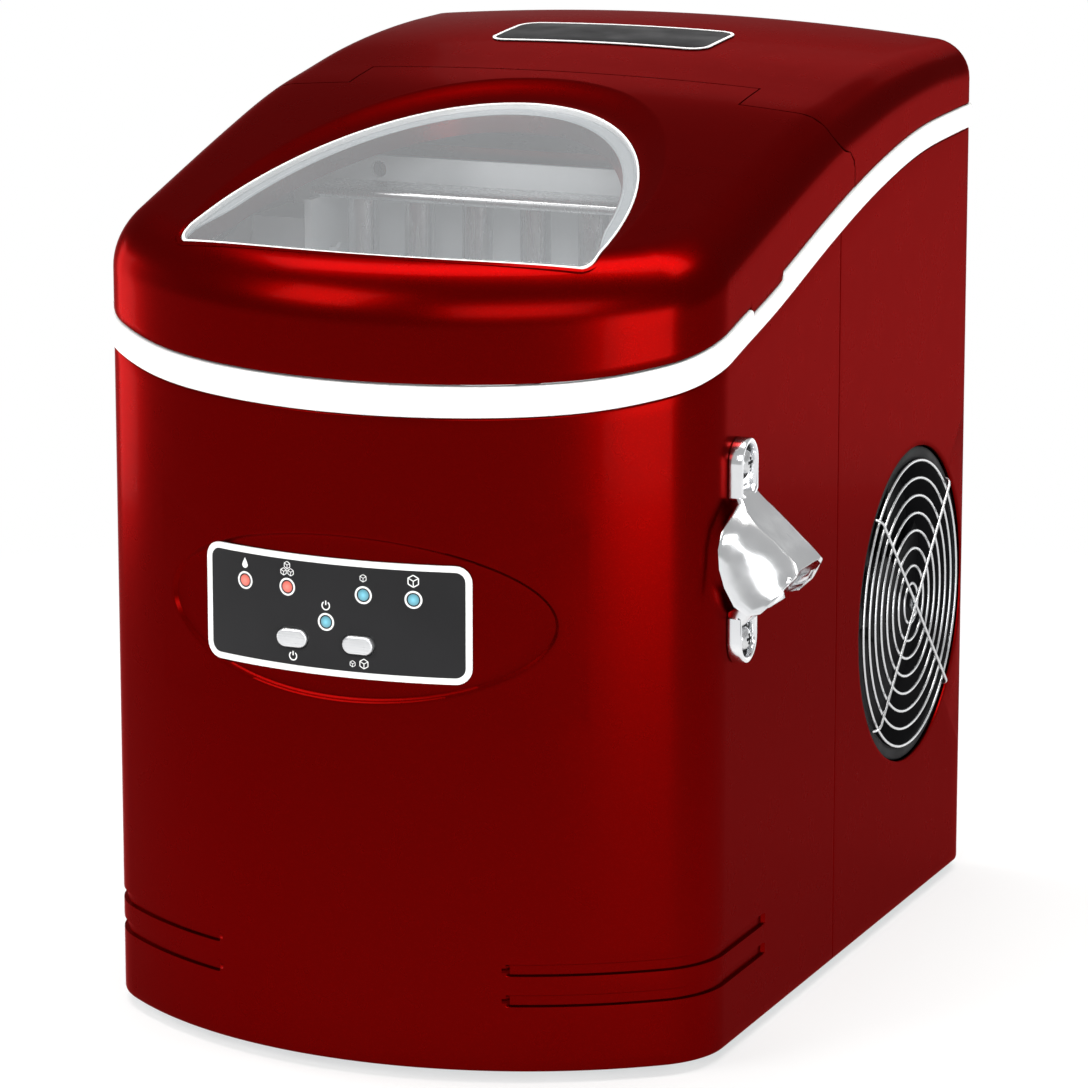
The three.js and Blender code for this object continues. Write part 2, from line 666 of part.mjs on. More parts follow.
add("front_shell", cut(
  join(wallRing.intersect(underTrim).intersect(frontHalf), ...standoffs),
  dish,
  panelBlock(faceWidth, faceHeight, faceCorner),
  groove(GROOVE_LOW_Z),
  groove(GROOVE_LOW_Z + GROOVE_PITCH),
  ...screwHoles,
  drainHole,
), "red");

const slots = [...Array(SLOT_COUNT).keys()].map((i) => {
  const y = fanY + (i - (SLOT_COUNT - 1) / 2) * sized("slotPitch");
  return along("X", rounded(y - SLOT_WIDTH / 2, y + SLOT_WIDTH / 2,
    SLOT_Z - SLOT_LENGTH / 2, SLOT_Z + SLOT_LENGTH / 2, SLOT_WIDTH / 2 - OVERLAP / 4),
  -sideX - OVERRUN, -sideX + WALL + OVERRUN, 1);
});
const fanHole = along("X", circle(fanY, FAN_Z, fanHoleRadius, 28),
  sideX - WALL - OVERRUN, sideX + OVERRUN);
const glandHole = rod([GLAND_X, backY - WALL - OVERRUN, GLAND_Z],
  [GLAND_X, backY + OVERRUN, GLAND_Z], GLAND_RADIUS + CLEAR, 20);
add("rear_shell", cut(
  wallRing.intersect(underTrim).intersect(rearHalf), fanHole, glandHole, ...slots,
), "red");

// White band between the shells and the covers
const [notchFront, notchBack] = [place("notchFront"), place("notchBack")];
const notch = sweepSlab((y) => trimTop(y) - TRIM_NOTCH, aboveAll, notchFront, notchBack);
const trimRing = cut(
  prism(-TRIM_PROUD, trimFrontHeight - OVERRUN, topZ),
  prism(WALL, trimFrontHeight - 2 * OVERRUN, topZ + OVERRUN),
);
add("trim_band", cut(
  trimRing.intersect(sweepSlab((y) => trimLow(y) + CLEAR, trimTop)), notch,
), "white");

// Covers: one crowned skin, parted into lid and rear cover
const skinFloor = trimFrontHeight - OVERRUN;
const skin = cut(envelope(0, skinFloor), envelope(WALL, skinFloor - OVERRUN));
const overTrim = join(
  sweepSlab((y) => trimTop(y) + SEAM, aboveAll),
  sweepSlab((y) => trimTop(y) - TRIM_NOTCH + SEAM, aboveAll,
    notchFront + SEAM, notchBack - SEAM),
);
const overRearTrim = sweepSlab((y) => trimTop(y) + CLEAR, aboveAll);

// Region that belongs to the lid, grown by the given gap. Its rear edge runs down the top seam,
// round the hinge axis and out to the seam on the side walls, so that it swings clear.
function lidZone(gap) {
  const sweep = SEAM_SWEEP_RADIUS - gap;
  const lead = SEAM_LEAD_LENGTH - gap;
  const end = Math.asin(lead / sweep);
  const steps = 6;
  const points = [
    [FRONT_Y - OVERRUN, belowAll()], [seamSideY + gap, belowAll()],
    [seamSideY + gap, hingeZ - sweep - SEAM_CORNER_HEIGHT],
  ];
  for (let i = 0; i <= steps; i++) {
    const a = (end * i) / steps;
    points.push([hingeY - sweep * Math.sin(a), hingeZ - sweep * Math.cos(a)]);
  }
  points.push([seamTopY + gap, aboveAll()], [FRONT_Y - OVERRUN, aboveAll()]);
  const reach = tabHalfWidth + gap;
  return join(
    along("X", polygon(points), -wide, wide),
    box(-reach, reach, seamTopY - OVERRUN, hingeY, hingeZ - TAB_RADIUS, aboveAll()),
    along("X", circle(hingeY, hingeZ, TAB_RADIUS + gap, 24), -reach, reach),
  );
}

// Window outline, counter-clockwise from the front centre: bowed front, tight corners and a long
// rounded rear, moved inwards by inset.
const windowLength = windowRearY - windowCornerY;
function windowOutline(inset) {
  const width = windowHalfWidth - inset;
  const radius = Math.max(WINDOW_CORNER_RADIUS - inset / 2, WINDOW_CORNER_RADIUS / 2);
  const front = windowFrontY + inset;
  const corner = windowCornerY + inset / 2;
  const length = windowRearY - inset - corner;
  const turn = Math.PI / 3;
  const [bowSteps, cornerSteps, rearSteps] = [3, 2, 7];
  const half = [];
  const bowEnd = width - radius + radius * Math.cos(turn);
  for (let i = 0; i < bowSteps; i++) {
    const share = i / bowSteps;
    half.push([bowEnd * share, blend(front, corner - radius * Math.sin(turn), share ** 2)]);
  }
  for (let i = 0; i < cornerSteps; i++) {
    const a = turn * (i / cornerSteps - 1);
    half.push([width - radius + radius * Math.cos(a), corner + radius * Math.sin(a)]);
  }
  for (let i = 0; i <= rearSteps; i++) {
    const a = ((i / rearSteps) * Math.PI) / 2;
    half.push([width * Math.cos(a), corner + length * Math.sin(a)]);
  }
  return [...half, ...half.slice(1, -1).reverse().map(([x, y]) => [-x, y])];
}

// The lens sinks below the top surface: level with it at the front, deepest at the rear tip.
const sink = (y) =>
  WINDOW_SINK * Math.min(Math.max((y - windowCornerY) / windowLength, 0), 1);
const lensHeight = (x, y) => topHeight(x, y) - sink(y) - OVERLAP;
const drop = (amount) => (x, y) => lensHeight(x, y) - amount;
const windowTop = () => aboveAll();

// Solid over the window outline between two surfaces given as functions of x and y
function windowSlab(inset, low, high) {
  const rim = windowOutline(inset);
  const layer = (height) =>
    [1, 0.5, 0].map((s) => rim.map(([x, y]) => [x * s, y, height(x * s, y)]));
  return loft([...layer(low).reverse(), ...layer(high)], { start: false, end: false });
}

// Sloped dish that leads from the top surface down to the lens, widest at the rear tip
function windowDish(lower) {
  const rim = windowOutline(0);
  const inner = [0, 0.5, 1].map((s) =>
    rim.map(([x, y]) => [x * s, y, lensHeight(x * s, y) - lower]));
  const outer = rim.map(([x, y]) => {
    const [across, back] = [x / windowHalfWidth, (y - windowCornerY) / windowLength];
    const grow = (DISH_WIDTH * Math.max(back, 0)) / Math.max(Math.hypot(across, back), OVERLAP);
    return [x + across * grow, y + back * grow];
  });
  const edge = outer.map(([x, y]) => [x, y, topHeight(x, y) - lower]);
  const high = outer.map(([x, y]) => [x, y, aboveAll()]);
  return loft([...inner, edge, high], { start: false, end: true });
}

// Seat for the lens: a ledge with a lip hanging from its inner edge, and a wall round the lens
const seat = LENS_THICKNESS + GASKET_THICKNESS + 2 * CLEAR;
const flangeBottom = seat + LEDGE_THICKNESS + FLANGE_DROP;

// Section of [inset, depth below the lens surface] corners, carried once round the window
function windowRing(section) {
  const rings = section.map(([inset, depth]) =>
    windowOutline(inset).map(([x, y]) => [x, y, lensHeight(x, y) - depth]));
  return loft([...rings, rings[0]], { start: false, end: false });
}
const ledgeBottom = seat + LEDGE_THICKNESS;
const flangeOuter = LEDGE_WIDTH - FLANGE_THICKNESS;
const lensSeat = windowRing([
  [-FLANGE_THICKNESS, ledgeBottom], [-FLANGE_THICKNESS, LENS_THICKNESS / 2],
  [0, LENS_THICKNESS / 2], [0, seat], [LEDGE_WIDTH, seat], [LEDGE_WIDTH, flangeBottom],
  [flangeOuter, flangeBottom], [flangeOuter, ledgeBottom],
]);

// Plate that hangs from the top and ends in a round eye on the hinge axis
function hingeEye(x0, x1) {
  const steps = 8;
  const eye = [...Array(steps + 1).keys()].map((i) => {
    const a = Math.PI * (1 + i / steps);
    return [hingeY + LUG_RADIUS * Math.cos(a), hingeZ + LUG_RADIUS * Math.sin(a)];
  });
  const shape = polygon([...eye, [hingeY + LUG_RADIUS, topZ], [hingeY - LUG_RADIUS, topZ]]);
  return along("X", shape, Math.min(x0, x1), Math.max(x0, x1));
}
const underSkin = envelope(WALL / 2, skinFloor - OVERRUN);
const lugOuter = tabHalfWidth - LUG_INSET;
const earInner = tabHalfWidth + EAR_OFFSET;
const boreEnd = earInner + EAR_WIDTH + PIN_RADIUS;
const pinBore = along("X", circle(hingeY, hingeZ, PIN_RADIUS + CLEAR, 12), -boreEnd, boreEnd);
const lugs = [-1, 1].map((side) =>
  hingeEye(side * lugOuter, side * (lugOuter - LUG_WIDTH)).intersect(underSkin));

const lidSkin = join(
  skin, windowDish(WALL).intersect(envelope(0, skinFloor)),
).intersect(overTrim).intersect(lidZone(0));
add("lid_shell", cut(
  join(
    cut(lidSkin, windowDish(0), windowSlab(0, drop(flangeBottom + OVERRUN), windowTop)),
    lensSeat,
    ...lugs,
  ),
  pinBore,
), "red");
add("window_gasket", windowRing([
  [CLEAR, seat - CLEAR], [CLEAR, LENS_THICKNESS + CLEAR],
  [flangeOuter, LENS_THICKNESS + CLEAR], [flangeOuter, seat - CLEAR],
]), "white");
add("lid_window", windowSlab(CLEAR, drop(LENS_THICKNESS), drop(0)), "lens");

// Rear cover, with a web and a shelf that close off the machine space under the hinge
const webY = hingeY + TAB_RADIUS + WALL + SEAM;
const shelfZ = bulkheadTopZ + CLEAR;
const coverInside = envelope(WALL - OVERLAP, skinFloor - OVERRUN);
const web = join(
  box(-wide, wide, webY, webY + WALL, shelfZ, aboveAll()),
  box(-tubHalfWidth, tubHalfWidth, tubRearY, webY + OVERLAP, shelfZ, shelfZ + WALL),
).intersect(coverInside);
const ears = [-1, 1].map((side) =>
  hingeEye(side * earInner, side * (earInner + EAR_WIDTH)).intersect(underSkin));
add("rear_cover", cut(
  join(cut(skin.intersect(overRearTrim), lidZone(SEAM)), web, ...ears),
  along("X", circle(hingeY, hingeZ, TAB_RADIUS + SEAM, 24),
    -tabHalfWidth - SEAM, tabHalfWidth + SEAM),
  pinBore,
), "red");
for (const [name, side] of [["hinge_pin_left", -1], ["hinge_pin_right", 1]])
  add(name, rod(
    [side * (lugOuter - LUG_WIDTH - PIN_RADIUS / 2), hingeY, hingeZ],
    [side * (earInner + EAR_WIDTH + PIN_RADIUS / 2), hingeY, hingeZ], PIN_RADIUS, 12,
  ), "steel");

// Badge plate lying on the crowned top
const badgeShape = rounded(BADGE_X - BADGE_WIDTH / 2, BADGE_X + BADGE_WIDTH / 2,
  place("badge") - BADGE_DEPTH / 2, place("badge") + BADGE_DEPTH / 2, BADGE_CORNER);
add("badge_plate", cut(
  envelope(-BADGE_PROUD, skinFloor).intersect(along("Z", badgeShape, skinFloor, aboveAll())),
  envelope(-CLEAR, skinFloor - OVERRUN),
), "black");

// Control panel: pale frame, black face, buttons and light pipes, and the board behind them
const faceFront = CLEAR;
add("panel_frame", cut(
  panelBlock(PANEL_WIDTH, PANEL_HEIGHT, PANEL_CORNER)
    .intersect(frontSkin(0, DISH_PANEL_DEPTH - CLEAR)),
  panelBlock(faceWidth, faceHeight, faceCorner),
), "white");

const onPanel = ([name, across, up, look]) =>
  [name, PANEL_X + (across * PANEL_WIDTH) / 2, PANEL_Z + (up * PANEL_HEIGHT) / 2, look];
const lights = LIGHT_shares.map(onPanel);
const buttons = BUTTON_shares.map(onPanel);

function pill(x, z, grow) {
  const [w, h] = [BUTTON_WIDTH / 2 + grow, BUTTON_HEIGHT / 2 + grow];
  return rounded(x - w, x + w, z - h, z + h, h - OVERLAP / 4);
}
const faceHoles = [
  ...lights.map(([, x, z]) => along("Y", circle(x, z, LED_RADIUS + CLEAR, 8),
    FRONT_Y - OVERRUN, cornerY)),
  ...buttons.map(([, x, z]) => along("Y", pill(x, z, CLEAR), FRONT_Y - OVERRUN, cornerY)),
];
add("panel_face", cut(
  panelBlock(faceWidth - 2 * CLEAR, faceHeight - 2 * CLEAR, faceCorner)
    .intersect(frontSkin(faceFront, FACE_DEPTH)),
  ...faceHoles,
), "black");

for (const [name, x, z, look] of lights)
  add(name, rod([x, frontY(x, faceFront), z], [x, panelBoardY - CLEAR, z], LED_RADIUS, 8), look);

for (const [name, x, z] of buttons) {
  const front = frontY(x, faceFront) - BUTTON_PROUD;
  const collar = frontY(Math.abs(x) + BUTTON_WIDTH, FACE_DEPTH) + CLEAR;
  add(name, join(
    along("Y", pill(x, z, 0), front, collar + CLEAR),
    along("Y", pill(x, z, SCREW_RADIUS / 2), collar, collar + BUTTON_PROUD, 1),
    rod([x, collar, z], [x, panelBoardY - SWITCH_HEIGHT - BUTTON_TRAVEL - CLEAR, z], SCREW_RADIUS, 8),
  ), "steel");
}

const boardHalf = faceWidth / 2 + BOARD_MARGIN;
add("control_board", join(
  box(PANEL_X - boardHalf, PANEL_X + boardHalf, panelBoardY, panelBoardY + BOARD_THICKNESS,
    PANEL_Z - faceHeight / 2, PANEL_Z + faceHeight / 2),
  ...buttons.map(([, x, z]) => box(
    x - SWITCH_HEIGHT / 2, x + SWITCH_HEIGHT / 2, panelBoardY - SWITCH_HEIGHT, panelBoardY + OVERLAP,
    z - SWITCH_HEIGHT / 2, z + SWITCH_HEIGHT / 2)),
), "board");

// Ice chamber liner: reservoir below, basket ledges, a deck that follows the band, and a bulkhead
function tubShape(inset) {
  const [x, y0, y1] = [tubHalfWidth - inset, tubFrontY + inset, tubRearY - inset];
  const [front, rear] = [TUB_FRONT_CORNER - inset, TUB_REAR_CORNER - inset];
  const shape = new THREE.Shape();
  shape.absarc(x - front, y0 + front, front, -Math.PI / 2, 0);
  shape.absarc(x - rear, y1 - rear, rear, 0, Math.PI / 2);
  shape.absarc(-x + rear, y1 - rear, rear, Math.PI / 2, Math.PI);
  shape.absarc(-x + front, y0 + front, front, Math.PI, 1.5 * Math.PI);
  return shape;
}
const deckTop = (y) => trimLow(y) - TUB_WALL;
const tubFloorTop = TUB_FLOOR_Z + TUB_WALL;
const underDeck = sweepSlab(belowAll, deckTop);
const bulkhead = box(-tubHalfWidth + TUB_REAR_CORNER, tubHalfWidth - TUB_REAR_CORNER,
  tubRearY - TUB_WALL, tubRearY, TUB_FLOOR_Z, bulkheadTopZ);
const deck = prism(WALL + CLEAR, TUB_FLOOR_Z, topZ)
  .intersect(sweepSlab((y) => deckTop(y) - TUB_WALL, deckTop, FRONT_Y - OVERRUN, tubRearY));
const tubSolid = along("Z", tubShape(0), TUB_FLOOR_Z, topZ);
const basketLedge = (side) => {
  const edges = [side * tubHalfWidth, side * (tubHalfWidth - LEDGE_REACH)];
  return box(Math.min(...edges), Math.max(...edges), basketFrontY, basketRearY,
    ledgeZ - LEDGE_REACH / 2, ledgeZ - CLEAR).intersect(tubSolid);
};
const tubFeet = [-1, 1].flatMap((side) => [tubFrontY, tubRearY].map((y, i) => {
  const inset = i ? -2 * TUB_REAR_CORNER : TUB_FRONT_CORNER;
  const x = side * (tubHalfWidth - TUB_FRONT_CORNER);
  return rod([x, y + inset, panTop + CLEAR], [x, y + inset, TUB_FLOOR_Z + OVERLAP],
    TUB_REAR_CORNER, 8);
}));
const tubeX = trayHalfLength - TUBE_END_GAP;
const tubeZ = plateZ + PLATE_THICKNESS + TUBE_RADIUS - OVERLAP;
const drainSpout = [[-tubHalfWidth + OVERLAP, drainY, DRAIN_Z], [-sideX + WALL + CLEAR, drainY, DRAIN_Z]];
const drainBore = rod([-tubHalfWidth + OVERRUN, drainY, DRAIN_Z], [-sideX, drainY, DRAIN_Z],
  DRAIN_RADIUS + CLEAR, 16);
add("inner_tub", cut(
  join(
    cut(
      tubSolid.intersect(underDeck),
      along("Z", tubShape(TUB_WALL), tubFloorTop, topZ + OVERRUN),
    ),
    cut(deck, along("Z", tubShape(TUB_WALL / 2), 0, topZ + OVERRUN)),
    bulkhead,
    basketLedge(-1),
    basketLedge(1),
    ...tubFeet,
    rod(...drainSpout, DRAIN_RADIUS + TUB_WALL, 16),
  ),
  drainBore,
  ...[-1, 1].map((side) => rod([side * tubeX, tubRearY - OVERRUN, tubeZ],
    [side * tubeX, tubRearY + OVERRUN, tubeZ], TUBE_RADIUS + CLEAR, 12)),
), "liner");

const capX = -sideX - CLEAR;
add("drain_plug", join(
  rod([capX - DRAIN_CAP_THICKNESS, drainY, DRAIN_Z], [capX, drainY, DRAIN_Z], DRAIN_CAP_RADIUS, 20),
  rod([capX - OVERLAP, drainY, DRAIN_Z], [-tubHalfWidth, drainY, DRAIN_Z], DRAIN_RADIUS, 16),
), "rubber");

// Frame that carries the ice tray, the evaporator and the ice pusher
const frameBack = tubRearY - TUB_WALL - CLEAR;
const frameFront = place("frameFront");
const frameTop = plateZ - CLEAR;
const armInner = frameHalfWidth - FRAME_WALL;
const pipeZ = frameTop - TUBE_RADIUS * 2.5;
const pipeY = trayY + trayRadius / 2;
const floorSlots = [-2, -1, 0, 1, 2].map((i) => {
  const x = (i * armInner) / 3;
  return box(x - SLOT_WIDTH, x + SLOT_WIDTH, frameFront + 2 * FRAME_WALL, frameBack - 4 * FRAME_WALL,
    frameFloorZ - OVERRUN, frameFloorZ + OVERRUN);
});
add("tray_frame", cut(
  join(
    box(-frameHalfWidth, frameHalfWidth, frameFront, frameBack,
      frameFloorZ, frameFloorZ + FRAME_WALL),
    box(-frameHalfWidth, frameHalfWidth, frameBack - TUB_WALL, frameBack, frameFloorZ, frameTop),
    ...[-frameHalfWidth, armInner].map((x) =>
      box(x, x + FRAME_WALL, place("frameArm"), frameBack, frameFloorZ, frameTop)),
  ),
  ...floorSlots,
  along("X", circle(trayY, trayZ, TRAY_PIN_RADIUS + CLEAR, 16), -wide, wide),
  along("X", circle(pipeY, pipeZ, TUBE_RADIUS + CLEAR, 12), 0, wide),
), "liner");

const fingerPitch = 2 * trayHalfLength * PITCH_shares.finger;
const fingers = [...Array(FINGER_COUNT).keys()].map((i) => turned("Z",
  [(i - (FINGER_COUNT - 1) / 2) * fingerPitch, trayY, plateZ - FINGER_LENGTH], [
    [0, 0], [FINGER_RADIUS * 0.7, FINGER_RADIUS * 0.2], [FINGER_RADIUS, FINGER_RADIUS],
    [FINGER_RADIUS, FINGER_LENGTH + OVERLAP], [0, FINGER_LENGTH + OVERLAP],
  ], 7));
const plateFront = trayY - sized("plate") / 2;
add("evaporator", join(
  along("Z", rounded(-frameHalfWidth, frameHalfWidth, plateFront, plateFront + sized("plate"),
    PLATE_THICKNESS), plateZ, plateZ + PLATE_THICKNESS),
  ...fingers,
  tube([
    [tubeX, tubRearY + 2 * TUBE_RADIUS, tubeZ], [tubeX, tubRearY - TUBE_RADIUS, tubeZ],
    [tubeX * 0.9, trayY, tubeZ], [0, trayY - TUBE_RADIUS, tubeZ], [-tubeX * 0.9, trayY, tubeZ],
    [-tubeX, tubRearY - TUBE_RADIUS, tubeZ], [-tubeX, tubRearY + 2 * TUBE_RADIUS, tubeZ],
  ], TUBE_RADIUS, 18, 5),
), "steel");

// Tray: a trough round the pivot axis with closed ends and pivot pins
function troughArc(radius) {
  const steps = 10;
  const half = (TRAY_SPAN_DEG / 2) * (Math.PI / 180);
  return [...Array(steps + 1).keys()].map((i) => {
    const a = -half + (2 * half * i) / steps;
    return [trayY + radius * Math.sin(a), trayZ - radius * Math.cos(a)];
  });
}
const trayEnd = (x) => along("X", polygon([
  ...troughArc(trayRadius), [trayY, trayZ + TRAY_PIN_RADIUS * 1.6],
]), x, x + TRAY_WALL);
add("water_tray", join(
  along("X", polygon([...troughArc(trayRadius), ...troughArc(trayRadius - TRAY_WALL).reverse()]),
    -trayHalfLength, trayHalfLength),
  trayEnd(-trayHalfLength),
  trayEnd(trayHalfLength - TRAY_WALL),
  ...[-1, 1].map((side) => rod([side * (trayHalfLength - TRAY_WALL), trayY, trayZ],
    [side * frameHalfWidth, trayY, trayZ], TRAY_PIN_RADIUS, 14)),
), "liner");

const motorX = -frameHalfWidth - CLEAR;
const motorBox = trayRadius - TRAY_WALL / 2;
add("tray_motor", join(
  box(motorX - MOTOR_BOX_WIDTH, motorX, trayY - motorBox, trayY + motorBox,
    trayZ - motorBox, trayZ + motorBox),
  rod([motorX - MOTOR_BOX_WIDTH - MOTOR_BOSS_LENGTH, trayY, trayZ],
    [motorX - MOTOR_BOX_WIDTH + OVERLAP, trayY, trayZ],
    motorBox * 0.7, 16),
), "grey");

const pusherBase = frameFloorZ + FRAME_WALL + CLEAR;
const runner = PUSHER_HEIGHT / 3;
const pusherY = frameBack - 2 * TUB_WALL - PUSHER_GAP;
add("ice_pusher", join(
  box(-armInner + 4 * CLEAR, armInner - 4 * CLEAR, pusherY, pusherY + TUB_WALL,
    pusherBase, pusherBase + PUSHER_HEIGHT),
  ...[-1, 1].map((side) => {
    const edge = side * (armInner - CLEAR);
    return box(Math.min(edge, edge - side * runner), Math.max(edge, edge - side * runner),
      pusherY - PUSHER_HEIGHT, pusherY + TUB_WALL, pusherBase + runner, pusherBase + 2 * runner);
  }),
), "liner");

// Ice basket with slots in its floor and front
const basketPitch = 2 * basketHalfWidth * PITCH_shares.basketSlot;
const basketSlots = [...Array(BASKET_SLOTS).keys()].map((i) => {
  const x = (i - (BASKET_SLOTS - 1) / 2) * basketPitch;
  return join(
    box(x - SLOT_WIDTH / 2, x + SLOT_WIDTH / 2, basketFrontY + 4 * BASKET_WALL,
      basketRearY - 4 * BASKET_WALL, ledgeZ - OVERRUN, ledgeZ + OVERRUN),
    box(x - SLOT_WIDTH / 2, x + SLOT_WIDTH / 2, basketFrontY - OVERRUN, basketFrontY + OVERRUN,
      ledgeZ + 4 * BASKET_WALL, ledgeZ + BASKET_HEIGHT - 6 * BASKET_WALL),
  );
});
function basketShape(inset) {
  const [x, y0, y1] = [basketHalfWidth - inset, basketFrontY + inset, basketRearY - inset];
  const [front, rear] = [BASKET_FRONT_CORNER - inset, 3 * BASKET_WALL - inset];
  const shape = new THREE.Shape();
  shape.absarc(x - front, y0 + front, front, -Math.PI / 2, 0);
  shape.absarc(x - rear, y1 - rear, rear, 0, Math.PI / 2);
  shape.absarc(-x + rear, y1 - rear, rear, Math.PI / 2, Math.PI);
  shape.absarc(-x + front, y0 + front, front, Math.PI, 1.5 * Math.PI);
  return shape;
}
add("ice_basket", cut(
  along("Z", basketShape(0), ledgeZ, ledgeZ + BASKET_HEIGHT),
  along("Z", basketShape(BASKET_WALL), ledgeZ + BASKET_WALL, ledgeZ + BASKET_HEIGHT + OVERRUN),
  ...basketSlots,
), "liner");

// Water pump on the reservoir floor and the hose that fills the tray
const [pumpX, pumpY] = [tubHalfWidth - PUMP_GAP, place("pump")];
const pumpBase = tubFloorTop + CLEAR;
const hoseRadius = TUBE_RADIUS - CLEAR;
add("water_pump", turned("Z", [pumpX, pumpY, pumpBase], [
  [0, 0], [PUMP_RADIUS, 0], [PUMP_RADIUS, PUMP_HEIGHT * 0.7], [PUMP_RADIUS * 0.6, PUMP_HEIGHT * 0.8],
  [TUBE_RADIUS, PUMP_HEIGHT * 0.85], [TUBE_RADIUS, PUMP_HEIGHT], [0, PUMP_HEIGHT],
], 14), "black");
const hoseTop = [frameHalfWidth - FRAME_WALL / 2, pipeY, pipeZ];
add("water_hose", tube([
  [pumpX, pumpY, pumpBase + PUMP_HEIGHT + CLEAR], [pumpX, pumpY, pumpBase + 1.5 * PUMP_HEIGHT],
  [tubHalfWidth - 6 * TUBE_RADIUS, pumpY, ledgeZ * 0.8],
  [tubHalfWidth - 5 * TUBE_RADIUS, pumpY * 0.9, frameFloorZ],
  [tubHalfWidth - 6 * TUBE_RADIUS, blend(pumpY, pipeY, 0.7), pipeZ - 4 * TUBE_RADIUS],
  [frameHalfWidth + 2.5 * TUBE_RADIUS, pipeY, pipeZ], hoseTop,
], hoseRadius, 18), "rubber");

// Compressor on three rubber grommets
const gCompressor = panTop + GROMMET_HEIGHT;
const grommets = [
  ["compressor_grommet_front_left", -1, -0.7], ["compressor_grommet_front_right", 1, -0.7],
  ["compressor_grommet_rear", 0, 1],
].map(([name, a, b]) => [name, CAN_X + a * canRadius, canY + b * canRadius]);
for (const [name, x, y] of grommets)
  add(name, turned("Z", [x, y, panTop], [
    [0, 0], [GROMMET_RADIUS, 0], [GROMMET_RADIUS, GROMMET_HEIGHT * 0.35],
    [GROMMET_RADIUS * 0.75, GROMMET_HEIGHT / 2], [GROMMET_RADIUS, GROMMET_HEIGHT * 0.65],
    [GROMMET_RADIUS, GROMMET_HEIGHT], [0, GROMMET_HEIGHT],
  ], 10), "rubber");
const can = CAN_HEIGHT;
const canBase = gCompressor + WALL;
add("compressor", join(
  ...grommets.map(([, x, y]) => rod([x, y, gCompressor], [x, y, canBase], GROMMET_RADIUS + WALL, 10)),
  along("Z", polygon(grommets.map(([, x, y]) => [x, y])), gCompressor, canBase),
  turned("Z", [CAN_X, canY, canBase - OVERLAP], [
    [0, 0], [canRadius * 0.7, 0], [canRadius * 0.95, can * 0.07],
    [canRadius, can * 0.14], [canRadius, can * 0.48],
    [canRadius * 1.03, can * 0.49], [canRadius * 1.03, can * 0.52],
    [canRadius, can * 0.53], [canRadius, can * 0.82],
    [canRadius * 0.8, can * 0.96], [0, can],
  ], 16),
), "black");

// Condenser: end plates, fins and the tubes that run through them
const condenserX = [condenserInner, condenserInner + CONDENSER_THICKNESS];
const condenserY0 = fanY - condenserWidth / 2;
const condenserZ0 = FAN_Z - CONDENSER_HEIGHT / 2;
const fins = [...Array(FIN_COUNT).keys()].map((i) => {
  const y = condenserY0 + (i * (condenserWidth - FIN_THICKNESS)) / (FIN_COUNT - 1);
  const low = i === 0 || i === FIN_COUNT - 1 ? panTop + CLEAR : condenserZ0;
  return box(...condenserX, y, y + FIN_THICKNESS, low, condenserZ0 + CONDENSER_HEIGHT);
});
const passes = [...Array(PASS_COUNT).keys()].map((i) => {
  const z = condenserZ0 + ((i + 0.5) / PASS_COUNT) * CONDENSER_HEIGHT;
  const x = condenserInner + CONDENSER_THICKNESS / 2;
  return box(x - PASS_WIDTH / 2, x + PASS_WIDTH / 2, condenserY0 + FIN_THICKNESS / 2,
    condenserY0 + condenserWidth - FIN_THICKNESS / 2, z - TUBE_RADIUS / 2, z + TUBE_RADIUS / 2);
});
add("condenser", join(...passes, ...fins), "aluminium");

// Refrigerant lines behind the bulkhead
const lineStart = tubRearY + 2 * TUBE_RADIUS + CLEAR;
const canTop = canBase + can - OVERLAP + CLEAR;
const suctionX = CAN_X - canRadius * 0.4;
add("suction_line", tube([
  [-tubeX, lineStart, tubeZ], [-tubeX, lineStart + 2 * TUBE_RADIUS, tubeZ],
  [-tubeX, lineStart + 6 * TUBE_RADIUS, blend(tubeZ, canTop, 0.15)],
  [blend(-tubeX, suctionX, 0.5), canY * 0.5, blend(tubeZ, canTop, 0.55)],
  [suctionX, canY, canTop + 8 * TUBE_RADIUS], [suctionX, canY, canTop],
], TUBE_RADIUS, 16), "copper");
const condenserTop = condenserZ0 + CONDENSER_HEIGHT + CLEAR;
const liquidX = condenserInner + CONDENSER_THICKNESS / 2;
add("liquid_line", tube([
  [tubeX, lineStart, tubeZ], [tubeX, lineStart + 2 * TUBE_RADIUS, tubeZ],
  [tubeX, lineStart + 6 * TUBE_RADIUS, blend(tubeZ, condenserTop, 0.2)],
  [liquidX, fanY * 0.6, blend(tubeZ, condenserTop, 0.7)],
  [liquidX, condenserY0 + FIN_THICKNESS / 2 + condenserWidth / 3, condenserTop + 5 * TUBE_RADIUS],
  [liquidX, condenserY0 + FIN_THICKNESS / 2 + condenserWidth / 3, condenserTop],
], TUBE_RADIUS, 16), "copper");

// Fan in its duct, driven by a motor on the duct's spider
const ductOuter = sideX - WALL - CLEAR;
const ductInner = ductOuter - DUCT_DEPTH;
const faceX = sideX - WALL / 2;
const ringWall = fanHoleRadius - CLEAR;
const ringX = [ductInner, fanY, FAN_Z];
const spiderX = [ductInner, ductInner + WALL];
